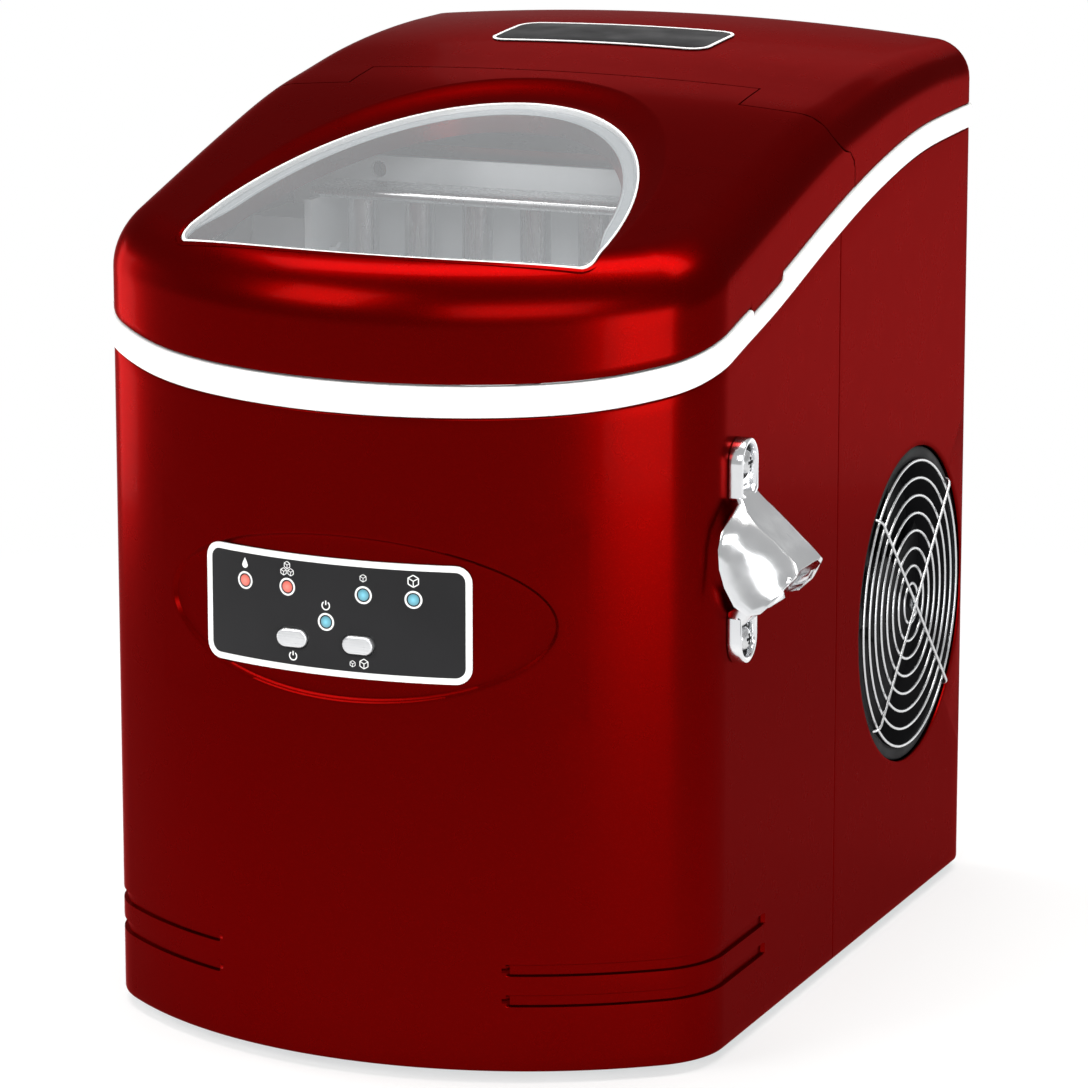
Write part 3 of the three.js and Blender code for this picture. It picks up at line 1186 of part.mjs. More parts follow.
// Flat bar that points away from the fan's axis, turned by the given angle
function spoke(x0, x1, from, to, breadth, angle) {
  const bar = new THREE.BoxGeometry(x1 - x0, to - from, breadth);
  bar.translate((x0 + x1) / 2, (from + to) / 2, 0);
  bar.rotateX(angle);
  bar.translate(0, fanY, FAN_Z);
  return solid(bar);
}
const spiderArms = [0, 1, 2, 3].map((i) =>
  spoke(...spiderX, MOTOR_RADIUS, ductRadius + WALL / 2, 3 * WALL, ((i + 0.5) * Math.PI) / 2));
const ductFlange = fanHoleRadius + 2 * WALL;
add("fan_duct", join(
  turned("X", ringX, [
    [ductRadius, 0], [ductRadius + WALL, 0], [ductRadius + WALL, DUCT_DEPTH - WALL],
    [ductFlange, DUCT_DEPTH - WALL], [ductFlange, DUCT_DEPTH], [ductRadius, DUCT_DEPTH],
    [ductRadius, 0],
  ], 28).intersect(prism(WALL + CLEAR, FAN_Z - 2 * ductRadius, FAN_Z + 2 * ductRadius)),
  turned("X", ringX, [
    [ductRadius, DUCT_DEPTH - WALL], [ringWall, DUCT_DEPTH - WALL], [ringWall, faceX - ductInner],
    [ductRadius, faceX - ductInner], [ductRadius, DUCT_DEPTH - WALL],
  ], 28),
  along("X", circle(fanY, FAN_Z, MOTOR_RADIUS + WALL, 16), ...spiderX),
  ...spiderArms,
), "black");
const motorStart = spiderX[1] + CLEAR;
add("fan_motor", join(
  turned("X", [motorStart, fanY, FAN_Z], [
    [0, 0], [MOTOR_RADIUS * 0.9, 0], [MOTOR_RADIUS, MOTOR_LENGTH * 0.1], [MOTOR_RADIUS, MOTOR_LENGTH * 0.9],
    [MOTOR_RADIUS * 0.9, MOTOR_LENGTH], [0, MOTOR_LENGTH],
  ], 14),
  rod([motorStart + MOTOR_LENGTH - OVERLAP, fanY, FAN_Z],
    [motorStart + MOTOR_LENGTH + FAN_BLADE_WIDTH * 0.8, fanY, FAN_Z], SHAFT_RADIUS, 8),
), "steel");

// Blade between hub and tip: a thin twisted section that leans more steeply at the hub
const hubStart = motorStart + MOTOR_LENGTH + CLEAR;
function blade(turn) {
  const rings = BLADE_shares.map(([reach, pitch, half]) => {
    const radius = reach ? blend(FAN_HUB_RADIUS, fanTipRadius, reach) : FAN_HUB_RADIUS - 2 * OVERLAP;
    const [depth, chord] = [FAN_BLADE_WIDTH / 2, half * fanTipRadius];
    const [c, s] = [Math.cos(turn), Math.sin(turn)];
    const mid = hubStart + FAN_BLADE_WIDTH / 2;
    const thin = FIN_THICKNESS / 2;
    const corners = [
      [-depth * pitch * 1.25 - thin, -chord], [depth * pitch * 1.25 - thin, chord],
      [depth * pitch * 1.25 + thin, chord], [-depth * pitch * 1.25 + thin, -chord],
    ].map(([x, t]) => [mid + x, t]);
    return corners.map(([x, t]) => {
      const r = Math.sqrt(Math.max(radius ** 2 - t ** 2, 1));
      return [x, fanY + r * c - t * s, FAN_Z + r * s + t * c];
    });
  });
  return loft(rings);
}
add("fan_blades", cut(
  join(
    turned("X", [hubStart, fanY, FAN_Z], [
      [0, 0], [FAN_HUB_RADIUS, 0], [FAN_HUB_RADIUS, FAN_BLADE_WIDTH * 0.8],
      [FAN_HUB_RADIUS * 0.85, FAN_BLADE_WIDTH], [0, FAN_BLADE_WIDTH],
    ], 14),
    ...[...Array(FAN_BLADES).keys()].map((i) => blade((i / FAN_BLADES) * 2 * Math.PI)),
  ),
  rod([hubStart - OVERRUN, fanY, FAN_Z], [hubStart + FAN_BLADE_WIDTH * 0.9, fanY, FAN_Z],
    SHAFT_RADIUS + CLEAR, 8),
), "black");

// Guard: concentric wire rings on two crossed wires whose ends hook over the duct's rim
const guardX = faceX + 2 * GUARD_WIRE + CLEAR;
const guardRings = [...Array(GUARD_RINGS).keys()].map((i) => {
  const radius = GUARD_FIRST_RADIUS + i * guardPitch;
  const [inner, outer] = [radius - GUARD_WIRE, radius + GUARD_WIRE];
  return turned("X", [guardX, fanY, FAN_Z],
    [[inner, 0], [outer, 0], [outer, 2 * GUARD_WIRE], [inner, 2 * GUARD_WIRE], [inner, 0]], 8 + 2 * i);
});
const guardReach = (ductRadius + ringWall) / 2;
const crossWires = [-1, 1].map((side) => spoke(faceX + CLEAR, guardX + OVERLAP,
  -guardReach, guardReach, 2 * GUARD_WIRE, (side * Math.PI) / 4));
add("fan_guard", join(...guardRings, ...crossWires), "steel");

// Power board on spacers from the left wall of the machine space
const boardX = [0, BOARD_THICKNESS].map((x) => wallInner + POWER_BOARD_SPACER + x);
const onPowerBoard = (x0, x1, y, z, width, height) =>
  box(x0, x1, y - width / 2, y + width / 2, z - height / 2, z + height / 2);
const [boardY, boardZ] = [fanY, POWER_BOARD_Z];
const powerWidth = sized("powerBoard");
const spacers = [-1, 1].flatMap((i) => [-1, 1].map((j) => {
  const y = boardY + i * (powerWidth / 2 - 2 * SCREW_RADIUS);
  const z = boardZ + j * (POWER_BOARD_HEIGHT / 2 - 2 * SCREW_RADIUS);
  return rod([wallInner + CLEAR, y, z], [boardX[0] + OVERLAP, y, z], BOARD_LEG_RADIUS, 6);
}));
add("power_board", join(
  onPowerBoard(...boardX, boardY, boardZ, powerWidth, POWER_BOARD_HEIGHT),
  onPowerBoard(boardX[0], boardX[1] + TRANSFORMER_HEIGHT, boardY - powerWidth / 4, boardZ,
    powerWidth / 3, POWER_BOARD_HEIGHT / 2),
  onPowerBoard(boardX[0], boardX[1] + TRANSFORMER_HEIGHT / 2, boardY + powerWidth / 4, boardZ,
    powerWidth / 5, POWER_BOARD_HEIGHT / 3),
  ...spacers,
), "board");

// Cord outlet in the back wall
add("cord_gland", cut(
  turned("Y", [GLAND_X, backY - WALL - GLAND_LENGTH, GLAND_Z], [
    [0, 0], [GLAND_RADIUS, 0], [GLAND_RADIUS, GLAND_LENGTH + WALL + CLEAR],
    [GLAND_RADIUS + WALL, GLAND_LENGTH + WALL + CLEAR],
    [GLAND_RADIUS + WALL, GLAND_LENGTH + 2 * WALL], [GLAND_RADIUS * 0.8, 2 * GLAND_LENGTH + WALL],
    [0, 2 * GLAND_LENGTH + WALL],
  ], 14),
  rod([GLAND_X, backY - 3 * GLAND_LENGTH, GLAND_Z], [GLAND_X, backY + 3 * GLAND_LENGTH, GLAND_Z],
    GLAND_RADIUS / 2, 8),
), "rubber");

// Bottle opener: one casting with two screw lugs, a sloped hood between side lobes, and a lower arm
const wallX = sideX + CLEAR;
const lugTop = wallX + OPENER_LUG_THICKNESS;
const lug = (z, z0, z1) => join(
  along("X", circle(openerY, z, OPENER_LUG_RADIUS, 24), wallX, lugTop),
  box(wallX, lugTop, openerY - OPENER_LUG_RADIUS, openerY + OPENER_LUG_RADIUS, z0, z1),
);
const hoodReach = OPENER_REACH - CLEAR;
// Side view of the casting as shares of the reach and of the screw spacing
const HOOD_TOP_shares = [
  [0, 0.86], [0.17, 0.84], [0.3, 0.74], [1, 0.46], [0.93, 0.4], [0.2, 0.68], [0, 0.72],
];
const LOBE_shares = [
  [0.18, 0.8], [0.06, 0.66], [0.04, 0.5], [0.12, 0.36], [0.28, 0.24], [0.5, 0.2], [0.72, 0.28],
  [0.9, 0.38], [1, 0.46], [0.62, 0.62],
];
const ARM_shares = [
  [0, 0.05], [0.17, 0.1], [0.3, 0.19], [0.55, 0.22], [0.52, 0.28], [0.24, 0.27], [0.1, 0.2], [0, 0.17],
];
const sideView = (shares) => shares.map(([a, b]) => [wallX + a * hoodReach, openerLowZ + b * OPENER_SPACING]);
// Extrusion across the wall: the side view is drawn in (x, z)
const across = (shares, y0, y1) => along("Y", polygon(sideView(shares)), openerY + y0, openerY + y1);
const hoodBlock = along("X", polygon([
  [openerY - NECK_HALF_WIDTH, openerHighZ], [openerY + NECK_HALF_WIDTH, openerHighZ],
  [openerY + NECK_HALF_WIDTH, openerHighZ - OPENER_LUG_RADIUS * 1.6],
  [openerY + HOOD_HALF_WIDTH, openerHighZ - OPENER_SPACING * 0.42],
  [openerY + HOOD_HALF_WIDTH, openerLowZ], [openerY - HOOD_HALF_WIDTH, openerLowZ],
  [openerY - HOOD_HALF_WIDTH, openerHighZ - OPENER_SPACING * 0.42],
  [openerY - NECK_HALF_WIDTH, openerHighZ - OPENER_LUG_RADIUS * 1.6],
].reverse()), wallX - OVERRUN, wallX + OPENER_REACH + OVERRUN);
const openerBody = join(
  lug(openerHighZ, openerHighZ - OPENER_SPACING * 0.2, openerHighZ),
  lug(openerLowZ, openerLowZ, openerLowZ + OPENER_SPACING * 0.12),
  across(HOOD_TOP_shares, -HOOD_HALF_WIDTH, HOOD_HALF_WIDTH).intersect(hoodBlock),
  ...[-1, 1].map((side) => across(LOBE_shares,
    side > 0 ? HOOD_HALF_WIDTH - HOOD_WALL : -HOOD_HALF_WIDTH,
    side > 0 ? HOOD_HALF_WIDTH : -HOOD_HALF_WIDTH + HOOD_WALL).intersect(hoodBlock)),
  across(ARM_shares, -HOOD_HALF_WIDTH, HOOD_HALF_WIDTH),
);
add("bottle_opener", cut(
  openerBody,
  ...[openerLowZ, openerHighZ].map((z) => join(
    rod([wallX - OVERRUN, openerY, z], [lugTop + OVERRUN, openerY, z], SCREW_RADIUS + CLEAR, 12),
    rod([lugTop - SCREW_HEAD_HEIGHT / 2, openerY, z], [lugTop + 4 * OVERRUN, openerY, z],
      SCREW_HEAD_RADIUS + CLEAR, 20),
  )),
), "chrome");
for (const [name, z] of [["opener_screw_lower", openerLowZ], ["opener_screw_upper", openerHighZ]]) {
  const headX = lugTop - SCREW_HEAD_HEIGHT / 2 + CLEAR;
  add(name, turned("X", [headX - SCREW_LENGTH, openerY, z], [
    [0, 0], [SCREW_RADIUS, 0], [SCREW_RADIUS, SCREW_LENGTH], [SCREW_HEAD_RADIUS, SCREW_LENGTH],
    [SCREW_HEAD_RADIUS * 0.7, SCREW_LENGTH + SCREW_HEAD_HEIGHT * 0.8],
    [0, SCREW_LENGTH + SCREW_HEAD_HEIGHT],
  ], 12), "steel");
}

// Origin under the middle of the overall box: the opener and the drain plug reach out sideways,
// the cord gland reaches out at the back.
const rightReach = CLEAR + OPENER_REACH;
const leftReach = CLEAR + DRAIN_CAP_THICKNESS;
const backReach = GLAND_LENGTH;
part.position.set((leftReach - hoodReach - CLEAR) / 2, (TRIM_PROUD - backReach) / 2, 0);

export default whole;
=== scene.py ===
import json
import math
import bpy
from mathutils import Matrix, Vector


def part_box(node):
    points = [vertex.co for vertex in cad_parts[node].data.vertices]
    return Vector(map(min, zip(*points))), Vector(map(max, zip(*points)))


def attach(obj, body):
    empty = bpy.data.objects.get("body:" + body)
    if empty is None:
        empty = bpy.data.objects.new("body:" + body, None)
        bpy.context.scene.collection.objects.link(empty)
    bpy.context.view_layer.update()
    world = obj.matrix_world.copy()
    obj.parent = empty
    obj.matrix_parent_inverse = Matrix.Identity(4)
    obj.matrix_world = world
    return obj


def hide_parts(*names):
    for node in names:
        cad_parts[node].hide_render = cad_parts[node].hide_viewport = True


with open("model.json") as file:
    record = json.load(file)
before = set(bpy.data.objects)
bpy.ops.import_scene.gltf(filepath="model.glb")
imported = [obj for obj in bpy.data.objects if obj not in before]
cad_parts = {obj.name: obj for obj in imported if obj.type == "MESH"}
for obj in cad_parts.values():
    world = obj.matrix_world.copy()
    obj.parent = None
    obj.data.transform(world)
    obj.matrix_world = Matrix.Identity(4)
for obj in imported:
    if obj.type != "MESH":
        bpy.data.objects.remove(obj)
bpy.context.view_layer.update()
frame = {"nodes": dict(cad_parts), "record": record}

from types import SimpleNamespace

import bmesh
import bpy
from bpy.props import FloatProperty, FloatVectorProperty, IntProperty, PointerProperty
from mathutils import Matrix, Vector

bl_info = {
    "name": "Countertop ice maker",
    "version": (1, 0, 0),
    "blender": (4, 5, 0),
    "location": "View3D > Sidebar > Ice maker",
    "description": "Casing, hinged lid with window, control panel, bottle opener and fan guard",
    "category": "Add Mesh",
}

# The middle of the casing, from above, in the frame
BAND_LOW, BAND_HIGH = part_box("trim_band")
ORIGIN = Vector(((BAND_LOW.x + BAND_HIGH.x) / 2, (BAND_LOW.y + BAND_HIGH.y) / 2, 0))
FULL_TURN = 2 * math.pi

# Outlines as shares: (share of the depth from the middle, share of the rise)
TRIM_LINE = (
    (-0.52, 0), (-0.43, 0.06), (-0.321, 0.235), (-0.175, 0.42), (0, 0.676),
    (0.143, 0.853), (0.287, 0.97), (0.43, 1), (0.52, 1),
)
TOP_LINE = (
    (-0.52, -0.03), (-0.43, 0.097), (-0.367, 0.194), (-0.287, 0.33), (-0.115, 0.612),
    (0.011, 0.796), (0.097, 0.874), (0.215, 0.961), (0.358, 1), (0.52, 0.99),
)
STRAIGHT_FROM = 222  # rows of the walls are level up to here, then follow the band

# Places in millimetres about the casing's middle
DRAIN = (-22, 36)  # y and z of the drain in the left-hand wall
GLAND = (-84, 34)  # x and z of the cord's outlet in the back wall
GROOVES = (31, 42.5)  # heights of the two grooves round the lower front corners
BADGE = (-4.5, 92.5)  # x and y of the top plate
WINDOW_MIDDLE = -75  # y of the point about which the window is drawn
FACE_SINK = 0.35  # panel face behind the casing's front
SLOT_ROUND = 2  # radius of the grooves' and slots' round ends


# ---- sizes and colours a user may change

def length(name, description, default):
    return FloatProperty(name=name, description=description, default=default, unit="LENGTH")


def colour(name, description, default):
    return FloatVectorProperty(name=name, description=description, default=default,
                               subtype="COLOR", size=3, min=0, max=1)


class CasingSizes(bpy.types.PropertyGroup):
    """Sizes of the casing and its white band"""
    width: length("Width", "Across the side walls", 0.241)
    depth: length("Depth", "From the front bulge to the back wall", 0.349)
    wall: length("Wall", "Thickness of the moulded walls", 0.0022)
    front_radius: length("Front radius", "Bow of the front seen from above", 0.169)
    front_corner: length("Front corner", "Radius of the front corners", 0.0357)
    rear_corner: length("Rear corner", "Radius of the rear corners", 0.014)
    foot_height: length("Foot height", "Lower edge above the table", 0.004)
    trim_front: length("Band height", "Lower edge of the band at the front", 0.244)
    trim_rise: length("Band rise", "Climb of the band to the back", 0.064)
    trim_wide: length("Band width at the front", "Height of the band at the front", 0.0115)
    trim_narrow: length("Band width at the back", "Height of the band at the back", 0.0093)
    trim_proud: length("Band proud", "How far the band stands out", 0.0012)
    top_front: length("Top height", "Top along the side walls at the front", 0.2905)
    top_rise: length("Top rise", "Climb of the top to the back", 0.0525)
    crown: length("Crown", "Extra height on the centre line", 0.0056)
    crown_half: length("Crown half width", "Where the crown ends", 0.112)
    round_front: length("Front rounding", "Rounding under the top at the front", 0.020)
    round_rear: length("Rear rounding", "Rounding under the top at the back", 0.012)
    body_seam: length("Body seam", "Joint between the shells behind the middle", 0.0102)
    seam: length("Lid seam", "Gap round the lid", 0.0006)
    groove_depth: length("Groove depth", "Depth of the two corner grooves", 0.0014)


class LidSizes(bpy.types.PropertyGroup):
    """Sizes of the lid, its hinge and its window"""
    hinge_y: length("Hinge place", "Hinge axis behind the middle", 0.019509)
    hinge_z: length("Hinge height", "Hinge axis above the table", 0.332063)
    seam_lead: length("Seam lead", "Rear edge on top before the axis", 0.0125)
    seam_trail: length("Seam trail", "Rear edge on the sides behind the axis", 0.0055)
    sweep: length("Seam sweep", "Seam passes this far below the axis", 0.014)
    tab_half: length("Tab half width", "Half width of the hinge tab", 0.080)
    tab_radius: length("Tab radius", "Rear end of the tab about the axis", 0.0122)
    window_half: length("Window half width", "Half width of the window", 0.081)
    window_front: length("Window front", "Front of the window", -0.157)
    window_corner: length("Window corner", "Front corners of the window", -0.138)
    window_radius: length("Window corner radius", "Radius of the front corners", 0.007)
    window_sink: length("Window sink", "Window below the top at its rear tip", 0.004)
    dish: length("Dish", "Sloped rim behind the window", 0.017)
    lens: length("Window thickness", "Thickness of the clear window", 0.002)


class PanelSizes(bpy.types.PropertyGroup):
    """Sizes of the control panel on the front"""
    x: length("Place across", "Middle of the panel", -0.0075)
    z: length("Height", "Middle of the panel above the table", 0.170)
    width: length("Width", "Across the pale frame", 0.107)
    height: length("Panel height", "Height of the pale frame", 0.0435)
    border: length("Border", "Width of the pale frame", 0.0024)
    corner: length("Corner", "Corner radius of the frame", 0.006)
    dish_x: length("Dish place", "Middle of the shallow dish", -0.002)
    dish_width: length("Dish width", "Across the shallow dish", 0.154)
    dish_height: length("Dish height", "Height of the shallow dish", 0.062)
    dish_depth: length("Dish depth", "Depth of the shallow dish", 0.0014)
    button_width: length("Button width", "Across a button", 0.012)
    button_height: length("Button height", "Height of a button", 0.0068)
    light_radius: length("Light radius", "Radius of a status light", 0.0024)


class OpenerSizes(bpy.types.PropertyGroup):
    """Sizes of the bottle opener on the right-hand wall"""
    y: length("Place", "Middle of the opener", -0.100)
    low: length("Lower screw", "Lower screw above the table", 0.1576)
    spacing: length("Spacing", "Between the screws", 0.0653)
    reach: length("Reach", "How far the lip stands out", 0.0284)
    lug: length("Lug radius", "Radius of the screw lugs", 0.009)


class FanSizes(bpy.types.PropertyGroup):
    """Sizes of the fan opening on the right-hand wall"""
    y: length("Place", "Fan axis behind the middle", 0.0995)
    z: length("Height", "Fan axis above the table", 0.1265)
    hole: length("Hole", "Radius of the opening in the wall", 0.0628)
    duct: length("Duct", "Radius of the duct's bore", 0.057)
    tip: length("Blade tip", "Radius at the blade tips", 0.053)
    hub: length("Hub", "Radius of the fan hub", 0.018)
    wire: length("Wire", "Radius of the guard's wire", 0.0006)
    rings: IntProperty(name="Rings", description="Wire rings of the guard", default=8, min=2)
    blades: IntProperty(name="Blades", description="Blades of the fan", default=7, min=2)


class Colours(bpy.types.PropertyGroup):
    """Main colours of the ice maker"""
    red: colour("Casing red", "Gloss of the casing", (0.118, 0.0004, 0.0002))
    white: colour("Band white", "Band, seal and panel frame", (0.86, 0.87, 0.87))
    black: colour("Panel black", "Panel face and top plate", (0.012, 0.012, 0.013))
    liner: colour("Liner white", "Inner plastic", (0.74, 0.77, 0.79))
    # painted shade: the window's grey is partly the plastic's tint and partly the shade of the
    # machine's inside painted into it
    clear: colour("Window", "Clear plastic", (0.4, 0.42, 0.44))
    red_light: colour("Red light", "Warning lights", (0.85, 0.16, 0.12))
    blue_light: colour("Blue light", "Status lights", (0.12, 0.38, 0.48))


def millimetres(group):
    """The group's lengths in millimetres, the unit in which the shapes are worked out."""
    sizes = {name: getattr(group, name) for name in group.__annotations__}
    return SimpleNamespace(**{
        name: value * 1000 if isinstance(value, float) else value for name, value in sizes.items()
    })


# ---- outlines and heights of the casing

def smooth_line(shares, depth, base, rise):
    """Height as a smooth function of y through points given as shares."""
    points = [(a * depth, base + b * rise) for a, b in shares]
    last = len(points) - 1
    slopes = []
    for i in range(last + 1):
        (y0, z0), (y1, z1) = points[max(i - 1, 0)], points[min(i + 1, last)]
        slopes.append((z1 - z0) / (y1 - y0))

    def height(y):
        i = 0
        while i < last - 1 and y > points[i + 1][0]:
            i += 1
        (y0, z0), (y1, z1) = points[i], points[i + 1]
        h = y1 - y0
        t = min(max((y - y0) / h, 0), 1)
        return ((2 * t**3 - 3 * t**2 + 1) * z0 + (t**3 - 2 * t**2 + t) * h * slopes[i]
                + (3 * t**2 - 2 * t**3) * z1 + (t**3 - t**2) * h * slopes[i + 1])
    return height


def blend(a, b, t):
    return a + (b - a) * t


def smooth(t):
    t = min(max(t, 0), 1)
    return t * t * (3 - 2 * t)


class Casing:
    """Outline and heights of the casing, in millimetres about its own middle."""

    def __init__(self, scene):
        self.size = s = millimetres(scene.casing_sizes)
        self.lid = millimetres(scene.lid_sizes)
        self.panel = millimetres(scene.panel_sizes)
        self.opener = millimetres(scene.opener_sizes)
        self.fan = millimetres(scene.fan_sizes)
        self.front_y, self.back_y, self.side_x = -s.depth / 2, s.depth / 2, s.width / 2
        self.centre_y = self.front_y + s.front_radius
        self.corner_x = self.side_x - s.front_corner
        self.corner_y = self.centre_y - math.sqrt(
            (s.front_radius - s.front_corner) ** 2 - self.corner_x**2)
        self.turn = math.atan2(self.corner_x, self.centre_y - self.corner_y)
        self.rear_x = self.side_x - s.rear_corner
        self.rear_y = self.back_y - s.rear_corner
        self.low = smooth_line(TRIM_LINE, s.depth, s.trim_front, s.trim_rise)
        self.line = smooth_line(TOP_LINE, s.depth, s.top_front, s.top_rise)
        self.notch_front, self.notch_back = -0.2493 * s.depth, -0.149 * s.depth

    def along(self, y):
        return min(max(y / self.size.depth + 0.5, 0), 1)

    def band_top(self, y):
        return self.low(y) + blend(self.size.trim_wide, self.size.trim_narrow, self.along(y))

    def notch(self, y, gap=0):
        """Depth of the finger notch in the band's upper edge."""
        inside = min(y - self.notch_front - gap, self.notch_back - gap - y)
        return 3 * smooth(inside / 1.2)

    def rounding(self, y):
        edge = blend(self.size.round_front, self.size.round_rear, self.along(y))
        return blend(edge, self.size.rear_corner, smooth((y - 115) / 42))

    def top(self, x, y):
        return self.line(y) + self.size.crown * (1 - (x / self.size.crown_half) ** 2)

    def front(self, x, inset=0):
        return self.centre_y - math.sqrt((self.size.front_radius - inset) ** 2 - x * x)

    def side(self, y):
        beyond = max(y - self.rear_y, 0)
        return self.rear_x + math.sqrt(self.size.rear_corner**2 - beyond**2)

    def outward(self, point):
        """Direction away from the casing at a point of its outline."""
        x, y = abs(point.x), point.y
        if y > self.rear_y + 0.001 and x > self.rear_x - 0.001:
            away = Vector((x - self.rear_x, y - self.rear_y, 0))
        elif y > self.back_y - 0.001:
            away = Vector((0, 1, 0))
        elif y > self.corner_y - 0.001:
            away = Vector((1, 0, 0))
        elif math.atan2(x - self.corner_x, self.corner_y - y) > self.turn and x > self.corner_x:
            away = Vector((x - self.corner_x, y - self.corner_y, 0))
        else:
            away = Vector((x, y - self.centre_y, 0))
        away.normalize()
        return Vector((math.copysign(away.x, point.x) if point.x else away.x, away.y, 0))

    def skin(self, x, y, foot, out):
        """Height of the crowned top at a point, with the rounding towards its part of the edge."""
        radius = self.rounding(foot.y)
        inside = min(max((foot.x - x) * out.x + (foot.y - y) * out.y, 0), radius)
        return self.top(x, y) - radius + math.sqrt(radius**2 - (radius - inside) ** 2)

    def seam_limit(self, z, gap=0):
        """Where the lid's rear edge runs on the side walls at a height."""
        lid = self.lid
        sweep = lid.sweep - gap
        below = lid.hinge_z - z
        if below > sweep + 5:
            return lid.hinge_y + lid.seam_trail + gap
        if below > sweep:
            return blend(lid.hinge_y, lid.hinge_y + lid.seam_trail + gap, (below - sweep) / 5)
        top = lid.hinge_y - lid.seam_lead + gap
        if below <= 0:
            return top
        return min(max(lid.hinge_y - math.sqrt(sweep**2 - below**2), top), lid.hinge_y)

    def tab_rear(self, x, gap=0):
        """Rear edge of the hinge tab on the crowned top."""
        y = self.lid.hinge_y
        for _ in range(4):
            rise = self.top(x, y) - self.lid.hinge_z
            y = self.lid.hinge_y + math.sqrt((self.lid.tab_radius + gap) ** 2 - rise**2)
        return y

    def window_edge(self, inset, grow=0):
        """Window outline, counter-clockwise from its front middle, with the dish's growth."""
        lid = self.lid
        width = lid.window_half - inset
        radius = max(lid.window_radius - inset / 2, lid.window_radius / 2)
        front, corner = lid.window_front + inset, lid.window_corner + inset / 2
        reach = -inset - corner
        turn = math.pi / 3
        end = width - radius + radius * math.cos(turn)
        half = []
        for i in range(16):
            t = i / 16
            half.append((end * t, blend(front, corner - radius * math.sin(turn), t * t)))
        for i in range(12):
            a = turn * (i / 12 - 1)
            half.append((width - radius + radius * math.cos(a), corner + radius * math.sin(a)))
        for i in range(49):
            a = i / 48 * math.pi / 2
            half.append((width * math.cos(a), corner + reach * math.sin(a)))
        if grow:
            half = [self.grown(x, y, grow) for x, y in half]
        return half + [(-x, y) for x, y in reversed(half[1:-1])]

    def grown(self, x, y, lip):
        """Point of the window outline moved out to the dish's upper edge."""
        across = x / self.lid.window_half
        back = (y - self.lid.window_corner) / -self.lid.window_corner
        far = max(math.hypot(across, back), 0.4)
        grow = self.lid.dish * max(back, 0) + lip
        return x + across * grow / far, y + back * grow / far

    def seat_edge(self, front, back):
        """Window outline with one inset at the front and another along the sides and back."""
        line = []
        for (x0, y0), (x1, y1) in zip(self.window_edge(front), self.window_edge(back)):
            share = smooth((y0 - self.lid.window_corner) / 30)
            line.append((blend(x0, x1, share), blend(y0, y1, share)))
        return line

    def lens_height(self, x, y):
        back = (y - self.lid.window_corner) / -self.lid.window_corner
        radius = self.rounding(self.front_y)
        inside = min(self.size.front_radius - math.hypot(x, y - self.centre_y), radius)
        drop = radius - math.sqrt(radius**2 - (radius - inside) ** 2)
        return self.top(x, y) - self.lid.window_sink * min(max(back, 0), 1) - 0.4 - drop


class Rays:
    """A closed outline that is read by the direction from a point inside it."""

    def __init__(self, points, centre):
        self.centre = centre
        polar = [(math.atan2(y - centre[1], x - centre[0]) % FULL_TURN,
                  math.hypot(x - centre[0], y - centre[1])) for x, y in points]
        polar.sort()
        (first, near), (last, far) = polar[0], polar[-1]
        self.polar = [(last - FULL_TURN, far)] + polar + [(first + FULL_TURN, near)]

    def at(self, x, y):
        a = math.atan2(y - self.centre[1], x - self.centre[0]) % FULL_TURN
        low, high = 0, len(self.polar) - 1
        while high - low > 1:
            middle = (low + high) // 2
            low, high = (middle, high) if self.polar[middle][0] <= a else (low, middle)
        (a0, r0), (a1, r1) = self.polar[low], self.polar[high]
        r = blend(r0, r1, (a - a0) / max(a1 - a0, 1e-9))
        return self.centre[0] + r * math.cos(a), self.centre[1] + r * math.sin(a)


# ---- mesh work

def box_millimetres(node):
    """Low and high corner of a node's box, about the casing's middle."""
    return [Vector([(a - o) * 1000 for a, o in zip(corner, ORIGIN)]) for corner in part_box(node)]


def verts_in(geom):
    return [g for g in geom if isinstance(g, bmesh.types.BMVert)]


def edges_in(geom):
    return [g for g in geom if isinstance(g, bmesh.types.BMEdge)]


